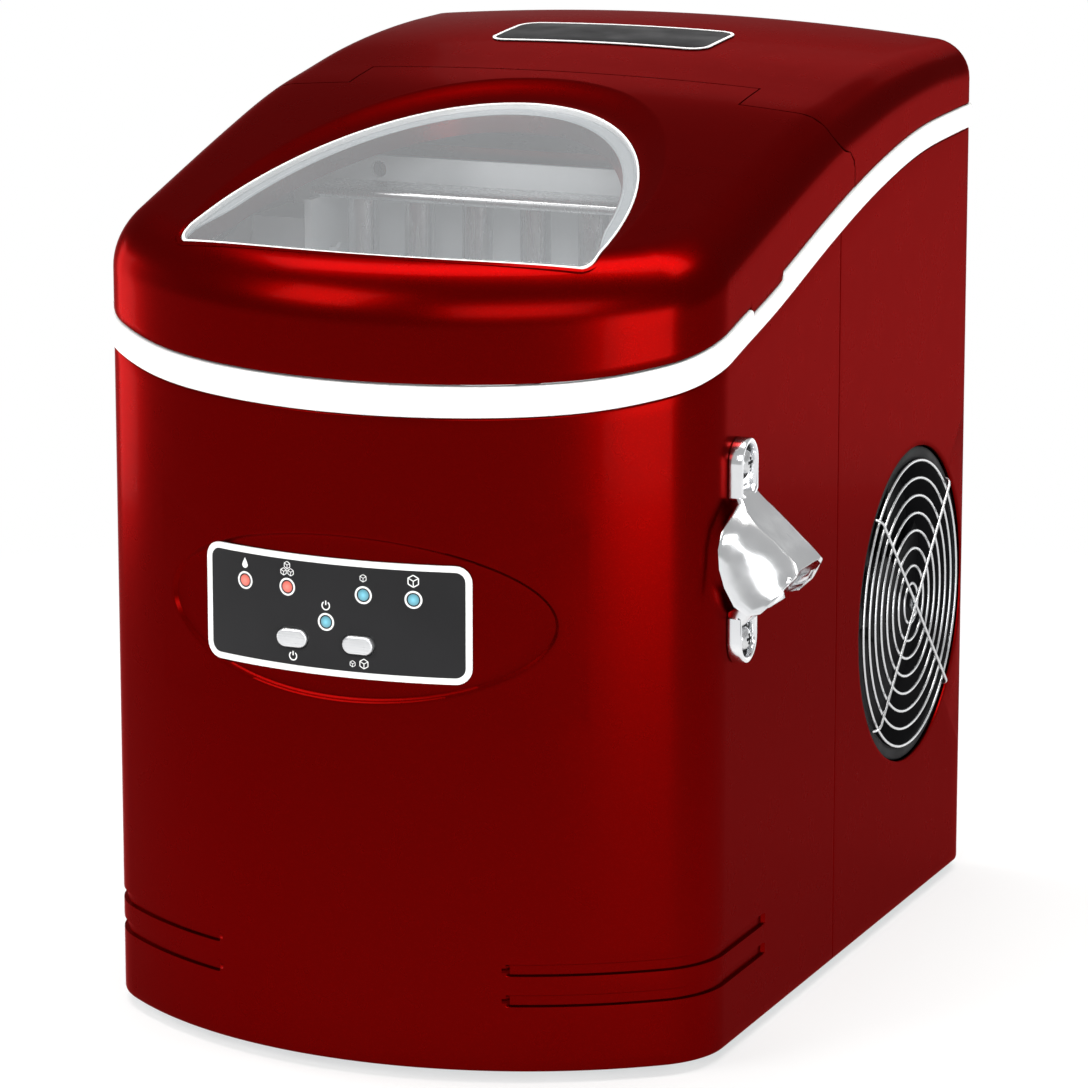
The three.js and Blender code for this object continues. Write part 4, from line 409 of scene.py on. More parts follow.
class Shape:
    """A mesh under construction, in millimetres. Each point remembers its foot on the outline."""

    def __init__(self):
        self.bm = bmesh.new()
        layers = self.bm.verts.layers.float_vector
        names = ("foot", "out", "spot", "across")
        for name in names:  # all of them before the first point, which a new layer would lose
            layers.new(name)
        self.foot, self.out, self.spot, self.across = (layers[name] for name in names)

    def point(self, *place):
        return self.bm.verts.new(place)

    def step(self, last, place):
        """Carries a line on from its last point."""
        new = bmesh.ops.extrude_vert_indiv(self.bm, verts=[last])["verts"][0]
        new.co = place
        return new

    def arc(self, last, centre, angle, steps):
        made = bmesh.ops.spin(self.bm, geom=[last], cent=centre, axis=(0, 0, 1), dvec=(0, 0, 0),
                              angle=angle, steps=steps, use_merge=False, use_duplicate=False)
        return verts_in(made["geom_last"])[0]

    def ring(self, points):
        """Closed line through the points."""
        first = last = self.point(*points[0])
        for place in points[1:]:
            last = self.step(last, place)
        closing = self.bm.edges.new((last, first))
        edges, edge, at = [closing], closing, first
        while len(edges) < len(points):
            edge = [e for e in at.link_edges if e is not edge and e not in edges][0]
            at = edge.other_vert(at)
            edges.append(edge)
        return edges

    def mirror(self):
        geom = self.bm.verts[:] + self.bm.edges[:] + self.bm.faces[:]
        bmesh.ops.mirror(self.bm, geom=geom, matrix=Matrix(), merge_dist=0.001, axis="X")

    def remember(self, casing):
        for v in self.bm.verts:
            v[self.foot], v[self.out] = v.co, casing.outward(v.co)

    def place(self, verts, where):
        for v in verts:
            v.co = where(v[self.foot], v[self.out])

    def rise(self, edges, where):
        """Extrudes a line and places the new points."""
        made = bmesh.ops.extrude_edge_only(self.bm, edges=edges)["geom"]
        self.place(verts_in(made), where)
        return edges_in(made)

    def rows(self, edges, places):
        """Puts the line in its first place and raises it through the others."""
        self.place({v for e in edges for v in e.verts}, places[0])
        for where in places[1:]:
            edges = self.rise(edges, where)
        return edges

    def reopen(self, inside, centre, reach, rings):
        """Takes out the faces inside and narrows the gap with rings of new points. A ring gets the
        direction of its point from the centre as an angle."""
        doomed = {f for f in self.bm.faces if inside(f.calc_center_median())}
        border = [e for e in {e for f in doomed for e in f.edges}
                  if any(f not in doomed for f in e.link_faces)]
        bmesh.ops.delete(self.bm, geom=list(doomed), context="FACES")
        for v in {v for e in border for v in e.verts}:
            across, up = centre(v.co)
            turn = math.atan2(up / reach[1], across / reach[0])
            v[self.out] = (math.cos(turn), math.sin(turn), 0)
        for where in rings:
            border = self.rise(border, lambda foot, out, where=where: where(out.x, out.y))
        return border

    def turned(self, profile, axis, at, steps):
        """Turns a profile of (radius, distance) about an axis through a point."""
        lay = {
            "X": lambda r, h: (h, r, 0), "Y": lambda r, h: (r, h, 0), "Z": lambda r, h: (r, 0, h),
        }[axis]
        line = [self.point(*(Vector(at) + Vector(lay(*profile[0]))))]
        for r, h in profile[1:]:
            line.append(self.step(line[-1], Vector(at) + Vector(lay(r, h))))
        edges = list({e for v in line for e in v.link_edges})
        way = {"X": (1, 0, 0), "Y": (0, 1, 0), "Z": (0, 0, 1)}[axis]
        bmesh.ops.spin(self.bm, geom=line + edges, cent=at, axis=way, dvec=(0, 0, 0),
                       angle=FULL_TURN, steps=steps, use_merge=True, use_duplicate=False)
        self.weld()

    def slab(self, points, direction):
        """Plate over a closed outline, extruded in a direction."""
        edges = self.ring(points)
        face = bmesh.ops.contextual_create(self.bm, geom=edges)["faces"][0]
        grown = bmesh.ops.extrude_face_region(self.bm, geom=[face], use_keep_orig=True)["geom"]
        moved = verts_in(grown)
        bmesh.ops.translate(self.bm, vec=direction, verts=moved)

    def pipe(self, points, radius, sides):
        """Round tube through the points."""
        points = [Vector(p) for p in points]
        heading = (points[1] - points[0]).normalized()
        turn = Vector((0, 0, 1)).rotation_difference(heading).to_matrix().to_4x4()
        made = bmesh.ops.create_circle(self.bm, cap_ends=False, segments=sides, radius=radius,
                                       matrix=Matrix.Translation(points[0]) @ turn)
        edges = list({e for v in made["verts"] for e in v.link_edges})
        bmesh.ops.contextual_create(self.bm, geom=edges)
        for i in range(1, len(points)):
            ahead = points[min(i + 1, len(points) - 1)] - points[i - 1]
            swing = heading.rotation_difference(ahead.normalized()).to_matrix()
            heading = ahead.normalized()
            grown = bmesh.ops.extrude_edge_only(self.bm, edges=edges)["geom"]
            edges = edges_in(grown)
            for v in {v for e in edges for v in e.verts}:
                v.co = points[i] + swing @ (v.co - points[i - 1])
        bmesh.ops.contextual_create(self.bm, geom=edges)

    def weld(self, near=0.001):
        bmesh.ops.remove_doubles(self.bm, verts=self.bm.verts, dist=near)
        bmesh.ops.dissolve_degenerate(self.bm, dist=near / 2, edges=self.bm.edges)
        bmesh.ops.recalc_face_normals(self.bm, faces=self.bm.faces)

    def wall(self, thickness, outward):
        """Gives an open skin its thickness, away from the side it shows."""
        self.weld()
        face = max(self.bm.faces, key=lambda f: outward.dot(f.calc_center_median()))
        if face.normal.dot(outward) < 0:
            bmesh.ops.reverse_faces(self.bm, faces=self.bm.faces)
        self.bm.normal_update()
        for v in self.bm.verts:
            v[self.spot] = v.normal
        grown = bmesh.ops.extrude_face_region(self.bm, geom=self.bm.faces[:],
                                              use_keep_orig=True)["geom"]
        for v in verts_in(grown):
            v.co -= v[self.spot] * thickness
        bmesh.ops.recalc_face_normals(self.bm, faces=self.bm.faces)

    def soften(self, width, sharpest=30, segments=2):
        """Rounds the edges that turn more than an angle."""
        edges = [e for e in self.bm.edges
                 if len(e.link_faces) == 2 and e.calc_face_angle(0) > math.radians(sharpest)]
        bmesh.ops.bevel(self.bm, geom=edges, offset=width, offset_type="OFFSET",
                        affect="EDGES", segments=segments, profile=0.5, material=-1,
                        clamp_overlap=True)

    def cuts(self, axis, stations):
        """Cuts across an axis, so that a flat plate can follow a curve."""
        for at in stations:
            geom = self.bm.verts[:] + self.bm.edges[:] + self.bm.faces[:]
            bmesh.ops.bisect_plane(self.bm, geom=geom, dist=0.0001, plane_co=axis * at,
                                   plane_no=axis)

    def piece(self, name, body, slot, replaces=(), smooth_to=32, finish=None):
        """Puts the shape in its place in the frame and hands it over as a piece."""
        move = Matrix.Translation(ORIGIN) @ Matrix.Scale(0.001, 4)
        bmesh.ops.transform(self.bm, matrix=move, verts=self.bm.verts)
        mesh = bpy.data.meshes.new(name)
        self.bm.to_mesh(mesh)
        self.bm.free()
        mesh.shade_smooth()
        mesh.set_sharp_from_angle(angle=math.radians(smooth_to))
        mesh.materials.append(material(finish or slot))
        made = bpy.data.objects.new(name, mesh)
        bpy.context.scene.collection.objects.link(made)
        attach(made, body)
        if replaces:
            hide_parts(*replaces)
        return made


def rounded_sheet(width, height, radius, x, z, border=0):
    """Flat plate or border with round corners in the plane of the front, ready to be bent."""
    shape = Shape()
    made = bmesh.ops.create_grid(shape.bm, x_segments=1, y_segments=1, size=0.5)
    corners = made["verts"]
    bmesh.ops.scale(shape.bm, vec=(width, height, 1), verts=corners)
    bmesh.ops.bevel(shape.bm, geom=corners, offset=radius, offset_type="OFFSET",
                    affect="VERTICES", segments=6, profile=0.5, material=-1)
    if border:
        rim = bmesh.ops.inset_region(shape.bm, faces=shape.bm.faces[:], thickness=border,
                                     use_boundary=True, use_even_offset=True)["faces"]
        bmesh.ops.delete(shape.bm, geom=[f for f in shape.bm.faces if f not in rim],
                         context="FACES")
    bmesh.ops.rotate(shape.bm, cent=(0, 0, 0), matrix=Matrix.Rotation(math.pi / 2, 3, "X"),
                     verts=shape.bm.verts)
    bmesh.ops.translate(shape.bm, vec=(x, 0, z), verts=shape.bm.verts)
    return shape


def spaced(start, end, pitch):
    """Even stations from start to end, both included."""
    steps = max(round(abs(end - start) / pitch), 1)
    return [blend(start, end, i / steps) for i in range(steps + 1)]


# ---- finishes

class Value:
    """A number that varies over a surface. Arithmetic on it adds Math nodes."""

    def __init__(self, finish, socket):
        self.finish, self.socket = finish, socket

    def __add__(self, other):
        return self.finish.maths("ADD", self, other)

    def __sub__(self, other):
        return self.finish.maths("SUBTRACT", self, other)

    def __rsub__(self, other):
        return self.finish.maths("SUBTRACT", other, self)

    def __mul__(self, other):
        return self.finish.maths("MULTIPLY", self, other)

    __radd__, __rmul__ = __add__, __mul__


class Finish:
    """One procedural material on Object coordinates."""

    def __init__(self, name, **constants):
        self.material = bpy.data.materials.new("finish_" + name)
        self.material.use_nodes = True
        self.tree = self.material.node_tree
        self.tree.nodes.clear()
        self.shader = self.tree.nodes.new("ShaderNodeBsdfPrincipled")
        self.output = self.tree.nodes.new("ShaderNodeOutputMaterial")
        self.tree.links.new(self.shader.outputs[0], self.output.inputs[0])
        self.at = self.node("ShaderNodeTexCoord", output="Object")
        self.set(**constants)

    def node(self, kind, settings=None, inputs=None, output=0):
        """A node with its settings, then its sockets' values or links."""
        made = self.tree.nodes.new(kind)
        for key, value in (settings or {}).items():
            setattr(made, key, value)
        for key, value in (inputs or {}).items():
            if isinstance(value, Value):
                self.tree.links.new(value.socket, made.inputs[key])
            else:
                made.inputs[key].default_value = value
        return Value(self, made.outputs[output])

    def set(self, **sockets):
        """Sets or links the shader's sockets, named with underscores."""
        for key, value in sockets.items():
            socket = self.shader.inputs[key.replace("_", " ").title().replace("Ior", "IOR")]
            if isinstance(value, Value):
                self.tree.links.new(value.socket, socket)
            elif socket.type == "RGBA":
                socket.default_value = (*value[:3], 1)
            else:
                socket.default_value = value

    def maths(self, operation, a, b):
        return self.node("ShaderNodeMath", {"operation": operation}, {0: a, 1: b})

    def stretched(self, scale, turn=(0, 0, 0)):
        """Object coordinates stretched or turned by a Mapping node."""
        return self.node("ShaderNodeMapping", None,
                         {"Vector": self.at, "Scale": scale, "Rotation": turn})

    def noise(self, scale, detail=2.0, at=None):
        return self.node("ShaderNodeTexNoise", None, {
            "Vector": at or self.at, "Scale": scale, "Detail": detail}, "Fac")

    def cells(self, scale, output="Distance"):
        return self.node("ShaderNodeTexVoronoi", None, {"Vector": self.at, "Scale": scale},
                         output)

    def between(self, value, low, high, start=0.0, end=1.0):
        """Carries a value from one range to another."""
        return self.node("ShaderNodeMapRange", {"clamp": True}, {
            "Value": value, "From Min": low, "From Max": high, "To Min": start, "To Max": end})

    def colours(self, share, a, b):
        """Mix of two colours."""
        a, b = ((*c[:3], 1) if not isinstance(c, Value) else c for c in (a, b))
        return self.node("ShaderNodeMix", {"data_type": "RGBA"}, {0: share, 6: a, 7: b}, 2)

    def bump(self, height, distance):
        """Relief of a height in metres, at full strength."""
        self.set(normal=self.node("ShaderNodeBump", None, {
            "Height": height, "Distance": distance, "Strength": 1.0}))


def shade(colour_, factor):
    return tuple(min(c * factor, 1) for c in colour_)


def moulded(name, base, rough, grain=900, relief=0.00002, spread=0.08, **constants):
    """Moulded plastic: faint mottling, uneven gloss and a fine grain."""
    f = Finish(name, **constants)
    cloud = f.noise(14, 3)
    f.set(base_color=f.colours(cloud, shade(base, 1 - spread), shade(base, 1 + spread)),
          roughness=f.between(f.noise(60, 3), 0.3, 0.7, rough * 0.85, rough * 1.2))
    f.bump(f.noise(grain, 2), relief)
    return f


def red_gloss(c):
    """Candy red: a metallic paint with hardly any coat, fine flakes and a soft ripple."""
    f = Finish("red_gloss", coat_weight=0.01, coat_roughness=0.08, metallic=0.97,
               specular_ior_level=0.1, specular_tint=(0.6, 0.0, 0.0))
    flake = f.cells(3200, "Color")
    drift = f.noise(7, 1)
    base = f.colours(drift, shade(c.red, 0.96), shade(c.red, 1.04))
    sparkle = f.node("ShaderNodeSeparateColor", None, {"Color": flake})
    f.set(base_color=f.colours(f.between(sparkle, 0.8, 1, 0, 0.3), base, shade(c.red, 1.9)),
          roughness=f.between(f.noise(90, 2), 0.3, 0.7, 0.27, 0.29))
    f.bump(f.noise(420, 2), 0.000004)
    return f


def white_gloss(c):
    return moulded("white_gloss", c.white, 0.28, 700, 0.00001, 0.02)


def seal_grey(c):
    return moulded("seal_grey", (0.33, 0.36, 0.38), 0.35, 500, 0.00003, 0.05)


def black_gloss(c):
    """Printed glass-clear black: faint haze and dust in the gloss."""
    f = Finish("black_gloss", coat_weight=0.12, coat_roughness=0.06, specular_ior_level=0.15)
    haze = f.noise(22, 4)
    f.set(base_color=f.colours(haze, shade(c.black, 0.7), shade(c.black, 1.4)),
          roughness=f.between(haze, 0.3, 0.7, 0.16, 0.26))
    f.bump(f.noise(1200, 2), 0.000004)
    return f


def black_matte(c):
    return moulded("black_matte", (0.010, 0.010, 0.011), 0.5, 1500, 0.00002, 0.25,
                   specular_ior_level=0.06)


def liner_white(c):
    return moulded("liner_white", c.liner, 0.36, 800, 0.00002, 0.03)


def clear_window(c):
    """Clear moulded plastic: mostly see-through, its grey veil partly tint and partly painted shade
    of the space behind it, with fine scuffs in the gloss.
    """
    f = Finish("clear_window", base_color=c.clear, ior=1.49, coat_weight=0.3, coat_roughness=0.03)
    scuff = f.noise(260, 4, f.stretched((1, 6, 1), (0, 0, 0.5)))
    f.set(roughness=f.between(scuff, 0.35, 0.75, 0.05, 0.14),
          alpha=f.between(f.noise(9, 2), 0.3, 0.7, 0.2, 0.26))
    f.bump(f.noise(40, 2), 0.00003)
    return f


def button_silver(c):
    f = Finish("button_silver", metallic=0.85)
    streak = f.noise(500, 3, f.stretched((0.2, 1, 6)))
    f.set(base_color=f.colours(streak, (0.62, 0.63, 0.65), (0.86, 0.87, 0.88)),
          roughness=f.between(streak, 0.3, 0.7, 0.26, 0.4))
    f.bump(streak, 0.00001)
    return f


def lamp(name, base):
    """Coloured light pipe, brighter in its middle."""
    f = Finish(name, coat_weight=0.7, coat_roughness=0.05, roughness=0.2, emission_strength=0.35)
    ring = f.node("ShaderNodeAttribute", {"attribute_name": "across"}, None, "Fac")
    speck = f.noise(900, 2)
    tone = f.colours(ring, shade(base, 1.25), shade(base, 0.55))
    f.set(base_color=f.colours(speck * 0.15, tone, shade(base, 0.7)),
          emission_color=f.colours(ring, shade(base, 1.1), (0, 0, 0)))
    return f


def red_light(c):
    return lamp("red_light", c.red_light)


def blue_light(c):
    return lamp("blue_light", c.blue_light)


def circuit_board(c):
    """Solder mask with copper tracks under it and small solder dots."""
    f = Finish("circuit_board", roughness=0.4)
    at = f.stretched((1, 1, 1), (0.4, 0.4, 0.4))
    track = f.node("ShaderNodeTexBrick", None, {
        "Vector": at, "Scale": 220.0, "Mortar Size": 0.03, "Mortar Smooth": 0.3}, "Fac")
    dots = f.between(f.cells(260), 0.12, 0.2, 1, 0)
    green = f.colours(track, (0.012, 0.11, 0.045), (0.05, 0.2, 0.07))
    f.set(base_color=f.colours(dots, green, (0.6, 0.6, 0.58)), metallic=dots * 0.8)
    f.bump(track + dots, 0.0001)
    return f


def brushed(name, base, rough, stretch, grain=300, spread=0.15, metallic=1.0):
    """Metal with fine lines along one direction."""
    f = Finish(name, metallic=metallic)
    streak = f.noise(grain, 4, f.stretched(stretch))
    f.set(base_color=f.colours(streak, shade(base, 1 - spread), shade(base, 1 + spread)),
          roughness=f.between(streak, 0.3, 0.7, rough * 0.8, rough * 1.25))
    f.bump(streak, 0.000002)
    return f


def motor_grey(c):
    return moulded("motor_grey", (0.32, 0.33, 0.34), 0.5, 1100, 0.00005, 0.1)


def galvanised_pan(c):
    """Zinc spangle: flat crystals of slightly different brightness."""
    f = Finish("galvanised_pan", metallic=0.9)
    crystal = f.node("ShaderNodeSeparateColor", None, {"Color": f.cells(130, "Color")})
    f.set(base_color=f.colours(crystal, (0.42, 0.44, 0.46), (0.62, 0.64, 0.66)),
          roughness=f.between(crystal, 0, 1, 0.32, 0.5))
    f.bump(crystal, 0.00002)
    return f


def compressor_black(c):
    """Black enamel with an orange-peel skin and a little dust."""
    f = Finish("compressor_black", coat_weight=0.3, coat_roughness=0.2)
    dust = f.between(f.noise(35, 5), 0.55, 0.8, 0, 0.35)
    f.set(base_color=f.colours(dust, (0.012, 0.012, 0.013), (0.10, 0.09, 0.08)),
          roughness=f.between(dust, 0, 0.35, 0.3, 0.6))
    f.bump(f.noise(260, 2), 0.0001)
    return f


def steel(c):
    return brushed("steel", (0.62, 0.63, 0.64), 0.26, (1, 1, 0.15), 300, 0.08)


def chrome(c):
    """Polished casting: bright, with a slight ripple and soft clouding."""
    f = Finish("chrome", metallic=1.0)
    cloud = f.noise(45, 3)
    f.set(base_color=f.colours(cloud, (0.70, 0.71, 0.73), (0.84, 0.85, 0.86)),
          roughness=f.between(f.noise(160, 4), 0.35, 0.75, 0.12, 0.22))
    f.bump(f.noise(90, 2), 0.00006)
    return f


def aluminium(c):
    return brushed("aluminium", (0.66, 0.67, 0.68), 0.34, (8, 1, 1), 420)


def copper(c):
    """Drawn copper tube with darker tarnish in patches."""
    f = Finish("copper", metallic=1.0)
    tarnish = f.between(f.noise(70, 4), 0.45, 0.7)
    f.set(base_color=f.colours(tarnish, (0.72, 0.32, 0.17), (0.30, 0.13, 0.08)),
          roughness=f.between(tarnish, 0, 1, 0.24, 0.5))
    f.bump(f.noise(600, 2), 0.00002)
    return f


def rubber(c):
    return moulded("rubber", (0.020, 0.020, 0.021), 0.75, 2200, 0.00008, 0.3)


def hose_clear(c):
    return moulded("hose_clear", (0.55, 0.58, 0.60), 0.25, 700, 0.00003, 0.06)


FINISHES = (
    red_gloss, white_gloss, seal_grey, black_gloss, black_matte, clear_window, liner_white,
    button_silver, red_light, blue_light, circuit_board, motor_grey, galvanised_pan,
    compressor_black, steel, chrome, aluminium, copper, rubber, hose_clear,
)


def material(slot):
    """The finish for a material slot of the record, made when it is first asked for."""
    known = bpy.data.materials.get("finish_" + slot)
    if known:
        return known
    maker = {f.__name__: f for f in FINISHES}[slot]
    return maker(bpy.context.scene.finish_colours).material


# ---- operators, one for each piece or group of like pieces

class MakeStage(bpy.types.Operator):
    """White floor, soft lamps, surroundings and the camera"""
    bl_idname = "ice_maker.make_stage"
    bl_label = "Stage"

    def execute(self, context):
        scene = context.scene
        scene.view_settings.view_transform = "Standard"
        world = bpy.data.worlds.new("Studio")
        scene.world = world
        world.use_nodes = True
        nodes, links = world.node_tree.nodes, world.node_tree.links
        nodes.clear()
        rays = nodes.new("ShaderNodeLightPath")
        seen = nodes.new("ShaderNodeMath")
        seen.operation = "MAXIMUM"
        links.new(rays.outputs["Is Camera Ray"], seen.inputs[0])
        links.new(rays.outputs["Is Transmission Ray"], seen.inputs[1])
        mix = nodes.new("ShaderNodeMixShader")
        links.new(seen.outputs[0], mix.inputs[0])
        # softer light on the piece than the white that the camera sees behind it
        for i, strength in ((1, 0.5), (2, 1.0)):
            around = nodes.new("ShaderNodeBackground")
            around.inputs["Color"].default_value = (1, 1, 1, 1)
            around.inputs["Strength"].default_value = strength
            links.new(around.outputs[0], mix.inputs[i])
        out = nodes.new("ShaderNodeOutputWorld")
        links.new(mix.outputs[0], out.inputs[0])
        self.floor()
        for name, place, aim, size, power, tint in (
            ("key", (-1.4, -1.9, 1.9), (0, 0, 0.2), (1.1, 1.1), 24, (1, 0.98, 0.96)),
            ("front", (0.75, -2.1, 1.3), (0.1, 0, 0.2), (1.4, 0.8), 16, (1, 1, 1)),
            ("overhead", (0, 0.05, 2.3), (0, 0, 0.3), (3.0, 0.8), 64, (1, 0.97, 0.94)),
            ("rear", (-0.3, 2.2, 1.2), (0, 0, 0.3), (1.6, 0.6), 3.5, (1, 1, 1)),
            ("strip_corner", (0.84, -0.72, 0.21), (0.1, -0.13, 0.2), (0.4, 0.4), 3, (1, 1, 1)),
            ("strip_rear", (0.42, 0.74, 0.15), (0.11, 0.1, 0.15), (0.36, 0.26), 0.3, (1, 1, 1)),
            ("strip_left", (-0.92, 0.12, 0.25), (-0.12, -0.1, 0.2), (0.3, 0.48), 3, (1, 1, 1)),
        ):
            self.lamp(name, place, aim, size, power, tint)
        camera = bpy.data.objects.new("camera", bpy.data.cameras.new("camera"))
        scene.collection.objects.link(camera)
        camera.data.sensor_width, camera.data.lens = 36, 180.9
        camera.data.clip_start, camera.data.clip_end = 0.05, 60
        self.point(camera, (0.778417, -1.906961, 0.627775), (-0.009338, -0.000449, 0.161))
        scene.camera = camera
        return {"FINISHED"}

    def point(self, thing, place, aim):
        thing.location = place
        thing.rotation_mode = "QUATERNION"
        thing.rotation_quaternion = (Vector(aim) - Vector(place)).to_track_quat("-Z", "Y")

    def lamp(self, name, place, aim, size, power, tint):
        data = bpy.data.lights.new(name, "AREA")
        data.shape, (data.size, data.size_y) = "RECTANGLE", size
        data.energy, data.color = power, tint
        made = bpy.data.objects.new(name, data)
        bpy.context.scene.collection.objects.link(made)
        self.point(made, place, aim)

    def floor(self):
        bm = bmesh.new()
        bmesh.ops.create_grid(bm, x_segments=2, y_segments=2, size=12)
        mesh = bpy.data.meshes.new("floor")
        bm.to_mesh(mesh)
        bm.free()
        made = bpy.data.objects.new("floor", mesh)
        bpy.context.scene.collection.objects.link(made)
        f = Finish("floor")
        rays = f.tree.nodes.new("ShaderNodeLightPath")
        seen = f.maths("MAXIMUM", Value(f, rays.outputs["Is Camera Ray"]),
                       f.maths("MAXIMUM", Value(f, rays.outputs["Is Glossy Ray"]),
                               Value(f, rays.outputs["Is Transmission Ray"])))
        away = f.node("ShaderNodeVectorMath", {"operation": "LENGTH"}, {0: f.at}, "Value")
        share = f.between(away, 0.15, 0.75, 0.55, 1.0)
        white = f.tree.nodes.new("ShaderNodeEmission")
        white.inputs["Color"].default_value = (1, 1, 1, 1)
        mat = f.tree.nodes.new("ShaderNodeBsdfDiffuse")
        mat.inputs["Color"].default_value = (0.85, 0.85, 0.85, 1)
        mix = f.tree.nodes.new("ShaderNodeMixShader")
        f.tree.links.new((share * seen).socket, mix.inputs[0])
        f.tree.links.new(mat.outputs[0], mix.inputs[1])
        f.tree.links.new(white.outputs[0], mix.inputs[2])
        f.tree.links.new(mix.outputs[0], f.output.inputs[0])
        f.tree.nodes.remove(f.shader)
        mesh.materials.append(f.material)


def round_end(inside):
    """Half width of a groove or slot at a distance from its round end."""
    return math.sqrt(max(SLOT_ROUND**2 - (SLOT_ROUND - min(inside, SLOT_ROUND)) ** 2, 0))


def carve(casing):
    """Depth of the two grooves round the lower front corners at a place on the wall."""
    size = casing.size

    def depth(x, y, z):
        inside = min(abs(x) - 57, -66 - y)
        if inside <= 0:
            return 0
        half = round_end(inside)
        off = min(abs(z - height) for height in GROOVES)
        return size.groove_depth * smooth((half + 0.3 - off) / 0.55)
    return depth


def wall_rows(casing, levels):
    """Rows of a wall from its rounded lower edge up to the white band."""
    foot_height = casing.size.foot_height
    depth = carve(casing)
    seam = casing.size.body_seam

    def row(height, inset):
        def where(foot, out):
            z = height(foot.y)
            lip = 0.35 * max(0, 1 - abs(foot.y - seam) / 0.55) ** 2
            d = inset + depth(foot.x, foot.y, z) + lip
            return Vector((foot.x - out.x * d, foot.y - out.y * d, z))
        return where

    rows = [row(lambda y, h=foot_height + up: h, inset)
            for up, inset in ((0, 1.6), (0.25, 0.8), (0.8, 0.25), (1.6, 0))]
    rows += [row(lambda y, z=z: z, 0) for z in levels]
    for share in (0.3, 0.6, 0.85):
        rows.append(row(lambda y, s=share: blend(STRAIGHT_FROM, casing.low(y) - 0.8, s), 0))
    for down, inset in ((0.8, 0), (0.35, 0.08), (0.1, 0.3), (0, 0.7)):
        rows.append(row(lambda y, d=down: casing.low(y) - d, inset))
    return rows


def front_rail(shape, casing, front_steps, corner_steps, sides):
    """Half outline from the front middle to the last side station."""
    last = shape.point(0, casing.front_y, 0)
    last = shape.arc(last, (0, casing.centre_y, 0), casing.turn, front_steps)
    last = shape.arc(last, (casing.corner_x, casing.corner_y, 0), math.pi / 2 - casing.turn,
                     corner_steps)
    for y in sides:
        last = shape.step(last, (casing.side_x, y, 0))
    return last


def rear_rail(shape, casing, last, steps, back):
    """Carries the outline on round the rear corner to the middle of the back."""
    last = shape.arc(last, (casing.rear_x, casing.rear_y, 0), math.pi / 2, steps)
    for x in back:
        last = shape.step(last, (x, casing.back_y, 0))


class MakeFrontShell(bpy.types.Operator):
    """Bowed front wall with the shallow dish, the grooves and the side walls up to the seam"""
    bl_idname = "ice_maker.make_front_shell"
    bl_label = "Front shell"

    def execute(self, context):
        casing = Casing(context.scene)
        panel = casing.panel
        seam = casing.size.body_seam - 0.15
        shape = Shape()
        sides = spaced(casing.corner_y, -74, 4)[1:] + spaced(-72, -60, 1.2)
        sides += spaced(-56, seam - 2, 4) + [seam - 0.55, seam - 0.3, seam - 0.1, seam]
        front_rail(shape, casing, 80, 24, sides)
        shape.mirror()
        shape.remember(casing)
        levels = [9, 14, 20, 26]
        for z in GROOVES:
            levels += [z + d for d in (-2.7, -2.25, -2, -1.7, -0.9, 0, 0.9, 1.7, 2, 2.25, 2.7)]
        levels += spaced(50, 130, 8) + spaced(134, 206, 2.4) + [214, STRAIGHT_FROM]
        shape.rows(shape.bm.edges[:], wall_rows(casing, levels))

        def dish(a, b, depth):
            def where(c, s):
                x = panel.dish_x + a * c
                return Vector((x, casing.front(x, depth), panel.z + b * s))
            return where

        def hole(share):
            def where(c, s):
                w, h = panel.width / 2 - 4, panel.height / 2 - 4
                x = panel.dish_x - panel.x + (panel.dish_width / 2 - 2.4) * c
                z = (panel.dish_height / 2 - 2.4) * s
                k = blend(1, 1 / max(abs(x) / w, abs(z) / h), share)
                x, z = panel.x + k * x, panel.z + k * z
                return Vector((x, casing.front(x, panel.dish_depth), z))
            return where

        a, b, deep = panel.dish_width / 2, panel.dish_height / 2, panel.dish_depth
        rings = [dish(a + 1.2, b + 1.2, 0), dish(a, b, 0), dish(a - 0.3, b - 0.3, 0.06),
                 dish(a - 0.9, b - 0.9, deep * 0.42), dish(a - 1.7, b - 1.7, deep * 0.9),
                 dish(a - 2.4, b - 2.4, deep)]
        rings += [hole(share) for share in (0.25, 0.5, 0.75, 1)]
        shape.reopen(
            lambda p: p.y < -100 and abs(p.x) < 84 and 134.2 < p.z < 205.8,
            lambda p: (p.x - panel.dish_x, p.z - panel.z), (84, 36), rings)

        drain_y, drain_z = DRAIN

        def drain(radius, inset):
            return lambda c, s: Vector((-casing.side_x + inset, drain_y + radius * c,
                                        drain_z + radius * s))
        shape.reopen(
            lambda p: p.x < -100 and abs(p.y - drain_y) < 9.5 and abs(p.z - drain_z) < 10,
            lambda p: (p.y - drain_y, p.z - drain_z), (1, 1),
            [drain(7, 0), drain(5.8, 0), drain(5.4, 0.4)])
        shape.wall(casing.size.wall, Vector((0, -1, 0)))
        shape.piece("shell_front", "casing", "red_gloss", ["front_shell"])
        return {"FINISHED"}


